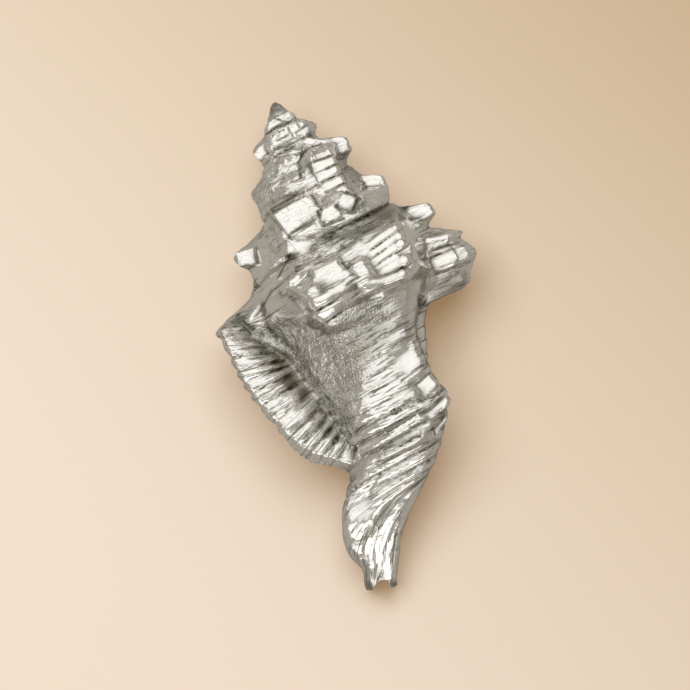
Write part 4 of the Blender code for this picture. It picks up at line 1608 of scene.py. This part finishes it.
    def dress(self, angle: Grid, down: Grid, across: Grid, up: Grid, wear: Wear) -> Skin:
        """Works out the values that the finish reads.

        Args:
            angle: angles round the axis.
            down: depths along the axis.
            across: places across.
            up: heights.
            wear: the kinds of surface.

        Returns:
            The skin, with its lines run along the cords.
        """
        striae = self.hush(wear) * (0.35 + 0.65 * fade_in(*self.striae_start, down))
        striae = striae * (1.0 - 0.4 * wear.polished) * (1.0 - 0.6 * wear.rough)
        striae = striae * (1.0 - 0.1 * bell((down - self.base_middle) / self.plain_base))
        flakes = (1.0 - 0.75 * fade_in(*self.flakes_end, down)) * (1.0 - wear.calm)
        flakes = flakes * (1.0 - 0.6 * wear.polished) * (1.0 - wear.smooth) * fade_in(1.0, 5.0, down)
        from_above = fade_in(-0.04, 0.12, sine(angle % 360.0))
        # Tarnish patches, some of which are painted shade
        tarnish_and_shade = highest(patch.share_at(across, down, 2.5) for patch in self.tarnish_and_shade_places)
        # Painted shade in the trough behind the lip and at the flange's inner foot, and darker grooves
        tarnish_and_shade = tarnish_and_shade + 0.4 * (wear.trough + wear.flange_foot_shade) + 0.75 * wear.cut
        stain = highest(patch.share_at(across, down, 2.0) for patch in self.stains)
        phase = self.cords.phase(angle % 360.0, down)
        line_x, line_y = self.cords.round_cord(phase, down)
        return Skin(
            angle, down, across, up, phase, striae=striae, flakes=flakes,
            crackle=np.clip(0.6 * wear.trough + wear.rough + 0.12 * (1.0 - wear.polished), 0.0, 1.0),
            stain=stain * from_above, tarnish_and_shade=np.clip(tarnish_and_shade, 0.0, 1.0) * from_above,
            line_x=line_x, line_y=line_y, run=self.cords.run(across, down))

    def add_relief(self, skin: Skin, wear: Wear) -> None:
        """Pushes the cords, lines and crackle into the skin along its normals.

        Args:
            skin: the skin, changed in place.
            wear: the kinds of surface.
        """
        normals = self.normals(skin.points())
        skin.flakes = skin.flakes * (0.45 + 0.55 * fade_in(0.55, 0.85, np.abs(normals[..., 2])))
        quiet = self.hush(wear) * (1.0 - self.flange_hush * wear.flange)
        cords = self.cords.relief(skin.phase, skin.across, skin.down, self.grain) * quiet
        cords = cords * (1.0 + self.knob_boost * wear.knobby)
        cords = cords * (1.0 + self.base_boost * bell((skin.down - self.cords_middle) / self.cords_half))
        place = [part * self.crumple_rate for part in (skin.across, skin.down, skin.up)]
        finer = [part * self.crumple_finer for part in place]
        crumple = self.fine_grain.at(*place) + 0.5 * self.fine_grain.at(*finer)
        crumple = crumple * (self.crumple_height + self.trough_crumple * wear.trough)
        growth = self.fine_grain.at(skin.angle * 0.35, skin.down * 0.10, np.full(skin.down.shape, 5.0))
        height = cords + crumple * fade_in(2.0, 10.0, skin.down) + self.growth_height * growth * quiet
        moved = skin.points() + normals * height[..., None]
        skin.across, skin.up = moved[..., 0], moved[..., 2]
        to_left = np.maximum(self.coil.centre_across.at(skin.down) + 3.0 - skin.across, 0.0)
        slanted = self.end_slant * to_left * fade_in(140.0, self.coil.length, skin.down)
        skin.down = np.clip(-moved[..., 1] - slanted, self.tip_start, self.coil.length)

    @staticmethod
    def normals(points: Grid) -> Grid:
        """Works out which way the skin faces.

        Args:
            points: rings of points.

        Returns:
            The outward normal at each point.
        """
        round_axis = np.roll(points, -1, axis=1) - np.roll(points, 1, axis=1)
        along = np.gradient(points, axis=0)
        normal = np.cross(round_axis, along)
        return normal / np.maximum(np.linalg.norm(normal, axis=-1, keepdims=True), 1e-9)

    def ring_depths(self) -> Grid:
        """Depth of each ring, closer together near the apex."""
        share = np.arange(1, self.ring_count + 1) / self.ring_count
        return self.tip_start + (self.coil.length - self.tip_start) * share ** self.ring_crowding

    def spread_angles(self, depths: Grid) -> Grid:
        """Spaces the points of each ring evenly along the skin, closer on the back.

        Args:
            depths: depth of each ring.

        Returns:
            The points' angles, ring by ring.
        """
        trial = self.first_angle + np.linspace(0.0, 360.0, self.trial_points + 1)
        angle, down = np.meshgrid(trial, depths)
        skin = self.skin_at(angle, down, corded=False)
        steps = np.linalg.norm(np.diff(skin.points(), axis=1), axis=-1)
        back = 1.0 + self.back_crowding * fade_in(-0.3, 0.2, sine(0.5 * (trial[1:] + trial[:-1])))
        walked = np.concatenate([np.zeros((len(depths), 1)), np.cumsum(steps * back, axis=1)], axis=1)
        walked = walked / walked[:, -1:]
        span = self.spacing_span
        padded = np.pad(walked, ((span, span), (0, 0)), mode="edge")
        walked = np.mean([padded[k:k + len(depths)] for k in range(2 * span + 1)], axis=0)
        wanted = np.arange(self.ring_points) / self.ring_points
        return np.array([np.interp(wanted, row, trial) for row in walked])

    def hollows(self, points: Grid) -> Grid:
        """Finds the grooves and pits.

        Args:
            points: rings of points.

        Returns:
            How far each point lies in a hollow, from 0 to 1.
        """
        normals = self.normals(points)
        blurred = points
        for _ in range(3):
            blurred = (blurred + np.roll(blurred, 1, axis=1) + np.roll(blurred, -1, axis=1)) / 3.0
            padded = np.pad(blurred, ((1, 1), (0, 0), (0, 0)), mode="edge")
            blurred = (padded[:-2] + padded[1:-1] + padded[2:]) / 3.0
        return np.clip(np.sum((blurred - points) * normals, axis=-1) / 0.4, 0.0, 1.0) ** 1.3

    def to_frame(self, points: Grid) -> Grid:
        """Moves millimetres of the shell to metres of the frame, over the solid's own box.

        Args:
            points: points in millimetres.

        Returns:
            The points in metres, none of them under the floor.
        """
        low, high = CAD_BOX
        shift = (high.x / MM - SOLID_RIGHT, high.y / MM + SOLID_TOP_DOWN, low.z / MM - SOLID_FOOT_UP)
        moved = points + np.array(shift)
        moved[..., 2] = np.maximum(moved[..., 2], low.z / MM)
        return moved * MM

    def make_loft(self, name: str, points: Grid, values: dict[Part, Grid]) -> bpy.types.Object:
        """Skins a closed mesh over rings of points.

        Args:
            name: the object's name.
            points: rings of points in millimetres.
            values: named values for each point of the rings.

        Returns:
            The new object.
        """
        rings, count = points.shape[:2]
        flat = points.reshape(-1, 3)
        ends = [points[0].mean(axis=0), points[-1].mean(axis=0)]
        placed = self.to_frame(np.concatenate([flat, ends]))
        i, j = np.meshgrid(np.arange(rings - 1), np.arange(count), indexing="ij")
        k = (j + 1) % count
        quads = np.stack([i * count + j, (i + 1) * count + j, (i + 1) * count + k, i * count + k], axis=-1)
        ring = np.arange(count)
        nose = [(rings * count, a, (a + 1) % count) for a in ring]
        last = (rings - 1) * count
        tail = [(rings * count + 1, last + (a + 1) % count, last + a) for a in ring]
        mesh = bpy.data.meshes.new(name)
        mesh.from_pydata(placed.tolist(), [], quads.reshape(-1, 4).tolist() + nose + tail)
        for part, grid in values.items():
            held = mesh.attributes.new(part.value, "FLOAT", "POINT")
            row = np.concatenate([grid.reshape(-1), [grid[0].mean(), grid[-1].mean()]])
            held.data.foreach_set("value", row.astype(np.float32))
        made = bpy.data.objects.new(name, mesh)
        bpy.context.scene.collection.objects.link(made)
        return made

    def make_cutter(self, name: str, rings: tuple[Grid, Grid, Grid]) -> bpy.types.Object:
        """Makes a closed shape that is only cut away, with calm values for its walls.

        Args:
            name: the object's name.
            rings: across, down and up of its rings.

        Returns:
            The new object.
        """
        across, down, up = rings
        beside = across - self.coil.centre_across.at(down)
        angle = np.degrees(np.arctan2(up - self.coil.centre_up.at(down), beside))
        phase = self.cords.phase(angle % 360.0, down)
        cord_x, cord_y = self.cords.round_cord(phase, down)
        values = {Part.CORD_X: cord_x, Part.CORD_Y: cord_y, Part.RUN: self.cords.run(across, down)}
        for part, level in self.wall_values:
            values[part] = np.full(across.shape, level)
        return self.make_loft(name, np.stack([across, -down, up], axis=-1), values)

    def build(self) -> bpy.types.Object:
        """Builds the shell, cuts its mouth and dresses it.

        Returns:
            The finished piece.
        """
        depths = self.ring_depths()
        angle = self.spread_angles(depths)
        down = np.broadcast_to(depths[:, None], angle.shape).copy()
        skin = self.skin_at(angle, down, corded=True)
        points = skin.points()
        values = {Part.CORD_X: skin.line_x, Part.CORD_Y: skin.line_y, Part.RUN: skin.run,
                  Part.STRIAE: skin.striae, Part.CRACKLE: skin.crackle, Part.FLAKES: skin.flakes,
                  # Darker silver in grooves and pits, plus tarnish and painted shade
                  Part.SHADE_AND_TARNISH: np.clip(self.hollows(points) + skin.tarnish_and_shade, 0.0, 1.0),
                  Part.STAIN: skin.stain}
        shell = self.make_loft("conch_shell_skin", points, values)
        cutters = [self.make_cutter("living_chamber", self.mouth.chamber(self.coil)),
                   self.make_cutter("canal_groove", self.mouth.canal(self.coil))]
        for cutter in cutters:
            self.cut(shell, cutter)
        _keep_largest_skin(shell.data)
        shell.data.shade_smooth()
        shell.data.set_sharp_from_angle(angle=math.radians(75.0))
        shell.data.materials.clear()
        shell.data.materials.append(self.finish.make())
        return shell

    @staticmethod
    def cut(shell: bpy.types.Object, cutter: bpy.types.Object) -> None:
        """Takes the cutter out of the shell and removes the cutter.

        Args:
            shell: the object that is cut.
            cutter: the closed shape to take out of it.
        """
        for item in (shell, cutter):
            if not _faces_out(item.data):
                item.data.flip_normals()
        modifier = shell.modifiers.new(cutter.name, "BOOLEAN")
        modifier.operation = "DIFFERENCE"
        modifier.solver = "EXACT"
        modifier.object = cutter
        bpy.context.view_layer.update()
        worked_out = shell.evaluated_get(bpy.context.evaluated_depsgraph_get())
        mesh = bpy.data.meshes.new_from_object(worked_out)
        shell.modifiers.clear()
        shell.data = mesh
        bpy.data.objects.remove(cutter)


def _keep_largest_skin(mesh: bpy.types.Mesh) -> None:
    """Removes the slivers that cutting leaves beside the one large skin.

    Args:
        mesh: the mesh, changed in place.
    """
    work = bmesh.new()
    work.from_mesh(mesh)
    bmesh.ops.remove_doubles(work, verts=work.verts, dist=WELD)
    bmesh.ops.triangulate(work, faces=[
        face for face in work.faces if len(face.verts) > 4 or face.calc_area() < SLIVER_AREA])
    left = set(work.faces)
    skins = []
    while left:
        front = [left.pop()]
        skin = list(front)
        while front:
            shared = (edge.link_faces for edge in front.pop().edges if len(edge.link_faces) == 2)
            for faces in shared:
                beside = [face for face in faces if face in left]
                left.difference_update(beside)
                skin.extend(beside)
                front.extend(beside)
        skins.append(skin)
    skins.sort(key=len)
    strays = [face for skin in skins[:-1] for face in skin]
    bmesh.ops.delete(work, geom=strays, context="FACES")
    work.to_mesh(mesh)
    work.free()


def _faces_out(mesh: bpy.types.Mesh) -> bool:
    """Finds out which way a closed mesh is turned.

    Args:
        mesh: the mesh.

    Returns:
        True if its faces point out.
    """
    places = np.zeros(len(mesh.vertices) * 3)
    mesh.vertices.foreach_get("co", places)
    mesh.calc_loop_triangles()
    corners = np.zeros(len(mesh.loop_triangles) * 3, np.int32)
    mesh.loop_triangles.foreach_get("vertices", corners)
    a, b, c = places.reshape(-1, 3)[corners.reshape(-1, 3)].transpose(1, 0, 2)
    return np.sum(np.cross(a, b) * c) > 0.0


@dataclass(frozen=True)
class PaleFloor:
    """A plain warm floor, painted a little brighter towards the near left as light that falls off across it.
    """
    half_size: float = 3.0
    near: Colour = (0.312, 0.262, 0.220)
    far: Colour = (0.098, 0.064, 0.029)
    # Painted light: the floor glows with this colour, except to glossy rays, so its shadows are lighter and
    # warmer
    painted_glow: Colour = (0.24, 0.140, 0.055)
    # Painted reflection: glossy rays see the floor in this darker grey in place of the paper
    mirrored: Colour = (0.190, 0.164, 0.133)
    # The way that the painted falloff of light darkens the paper, and where the change starts and ends
    slope: tuple[float, float, float] = (0.838, 0.547, 0.0)
    span: tuple[float, float] = (-0.155, 0.345)

    def build(self) -> bpy.types.Object:
        """Builds the floor.

        Returns:
            The floor.
        """
        mesh = bpy.data.meshes.new("pale_floor")
        size, z = self.half_size, CAD_BOX[0].z
        corners = [(-size, -size, z), (size, -size, z), (size, size, z), (-size, size, z)]
        mesh.from_pydata(corners, [], [(0, 1, 2, 3)])
        floor = bpy.data.objects.new("pale_floor", mesh)
        bpy.context.scene.collection.objects.link(floor)
        material = bpy.data.materials.new("warm_paper")
        material.use_nodes = True
        nodes, links = material.node_tree.nodes, material.node_tree.links
        shader = nodes["Principled BSDF"]
        place = nodes.new("ShaderNodeTexCoord")
        dot = nodes.new("ShaderNodeVectorMath")
        dot.operation = "DOT_PRODUCT"
        dot.inputs[1].default_value = self.slope
        links.new(place.outputs["Object"], dot.inputs[0])
        far = nodes.new("ShaderNodeMapRange")
        far.interpolation_type = "SMOOTHSTEP"
        far.inputs["From Min"].default_value, far.inputs["From Max"].default_value = self.span
        links.new(dot.outputs["Value"], far.inputs["Value"])
        rays = nodes.new("ShaderNodeLightPath")
        # Paper colour with painted light falloff towards the far right
        paper_with_falloff = mix_colours(material.node_tree, far.outputs["Result"], self.near, self.far)
        # Painted reflection: the metal sees the darker grey floor
        seen = mix_colours(material.node_tree, rays.outputs["Is Glossy Ray"], paper_with_falloff, self.mirrored)
        links.new(seen, shader.inputs["Base Color"])
        black = (0.0, 0.0, 0.0)
        # Painted glow of the floor, left out of reflections
        painted_glow_seen = mix_colours(material.node_tree, rays.outputs["Is Glossy Ray"], self.painted_glow, black)
        links.new(painted_glow_seen, shader.inputs["Emission Color"])
        shader.inputs["Emission Strength"].default_value = 1.0
        shader.inputs["Roughness"].default_value = 0.8
        shader.inputs["Specular IOR Level"].default_value = 0.1
        mesh.materials.append(material)
        return floor


@dataclass(frozen=True)
class SoftLight:
    """A soft panel of light: its place in metres, its size and how bright it looks."""
    name: str
    place: tuple[float, float, float]
    width: float
    height: float
    radiance: float
    tint: Colour = (1.0, 1.0, 1.0)
    mirrored: bool = True

    def build(self, target: Vector) -> bpy.types.Object:
        """Hangs the panel and turns it to the target.

        Args:
            target: the point that the panel faces.

        Returns:
            The light.
        """
        data = bpy.data.lights.new(self.name, "AREA")
        data.shape = "RECTANGLE"
        data.size, data.size_y = self.width, self.height
        data.energy = self.radiance * math.pi * self.width * self.height
        data.color = self.tint
        lamp = bpy.data.objects.new(self.name, data)
        lamp.location = self.place
        lamp.rotation_mode = "QUATERNION"
        lamp.rotation_quaternion = (target - Vector(self.place)).to_track_quat("-Z", "Y")
        lamp.visible_camera = False
        lamp.visible_glossy = self.mirrored
        bpy.context.scene.collection.objects.link(lamp)
        return lamp


@dataclass(frozen=True)
class SoftSky:
    """The room round the shell: a broad bright ceiling that falls off to dim walls."""
    axis: tuple[float, float, float] = (0.14, 0.38, 0.92)
    # How far from the axis, as a cosine, and how bright the room is there
    stops: Points = ((0.0, 0.44), (0.17, 0.475), (0.37, 0.19), (0.47, 0.98), (1.0, 1.14))
    # How much of the room's light the floor gets
    floor_share: float = 0.4
    walls: Colour = (1.0, 0.945, 0.845)
    ceiling: Colour = (1.0, 0.985, 0.955)

    def build(self) -> bpy.types.World:
        """Builds the room's light.

        Returns:
            The world.
        """
        world = bpy.data.worlds.new("soft_room")
        world.use_nodes = True
        nodes, links = world.node_tree.nodes, world.node_tree.links
        place = nodes.new("ShaderNodeTexCoord")
        dot = nodes.new("ShaderNodeVectorMath")
        dot.operation = "DOT_PRODUCT"
        dot.inputs[1].default_value = Vector(self.axis).normalized()
        links.new(place.outputs["Generated"], dot.inputs[0])
        ramp = nodes.new("ShaderNodeValToRGB")
        ramp.color_ramp.interpolation = "B_SPLINE"
        elements = ramp.color_ramp.elements
        while len(elements) < len(self.stops):
            elements.new(0.5)
        peak = max(level for _, level in self.stops)
        for element, (place_on, level) in zip(elements, self.stops):
            element.position = place_on
            tint = self.ceiling if level > 0.5 * peak else self.walls
            element.color = (*(level / peak * part for part in tint), 1.0)
        links.new(dot.outputs["Value"], ramp.inputs["Fac"])
        background = nodes["Background"]
        background.inputs["Strength"].default_value = peak
        links.new(ramp.outputs["Color"], background.inputs["Color"])
        rays = nodes.new("ShaderNodeLightPath")
        strength = nodes.new("ShaderNodeMapRange")
        strength.inputs["To Min"].default_value = peak
        strength.inputs["To Max"].default_value = peak * self.floor_share
        links.new(rays.outputs["Is Diffuse Ray"], strength.inputs["Value"])
        links.new(strength.outputs["Result"], background.inputs["Strength"])
        bpy.context.scene.world = world
        return world


@dataclass
class Studio:
    """The floor, the soft light and the camera that looks straight down."""
    floor: PaleFloor = PaleFloor()
    sky: SoftSky = SoftSky()
    look_at: tuple[float, float] = (-0.00567, -0.0011)
    aim_height: float = 0.028
    camera_height: float = 1.1
    view_width: float = 0.2104
    sensor: float = 36.0
    turn: float = -20.0
    lights: tuple[SoftLight, ...] = (
        SoftLight("floor_softbox", (-0.04, 0.36, 1.1), 0.85, 0.65, 20.0, (0.80, 0.89, 0.98), False),
        SoftLight("front_softbox", (-0.31, -0.85, 0.32), 1.5, 0.55, 1.0),
    )

    def build(self) -> None:
        """Lays the floor, hangs the lights and sets the camera."""
        self.floor.build()
        target = Vector((*self.look_at, self.aim_height))
        for light in self.lights:
            light.build(target)
        self.sky.build()
        bpy.context.scene.view_settings.view_transform = "Standard"
        data = bpy.data.cameras.new("camera")
        data.sensor_width = self.sensor
        data.lens = self.sensor * self.camera_height / self.view_width
        camera = bpy.data.objects.new("camera", data)
        camera.location = (*self.look_at, self.aim_height + self.camera_height)
        camera.rotation_euler = (0.0, 0.0, math.radians(self.turn))
        bpy.context.scene.collection.objects.link(camera)
        bpy.context.scene.camera = camera


def triangle_count(piece: bpy.types.Object) -> int:
    """How many triangles a piece has."""
    piece.data.calc_loop_triangles()
    return len(piece.data.loop_triangles)


def main() -> None:
    """Builds the shell and its studio."""
    logging.basicConfig(level=logging.INFO, format="%(name)s: %(message)s")
    shell = ConchShell().build()
    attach(shell, "root")
    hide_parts(CAD_NODE)
    log.info("%s: %d triangles", shell.name, triangle_count(shell))
    Studio().build()
    log.info("studio: floor, lights and camera set")
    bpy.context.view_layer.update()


if __name__ == "__main__":
    main()
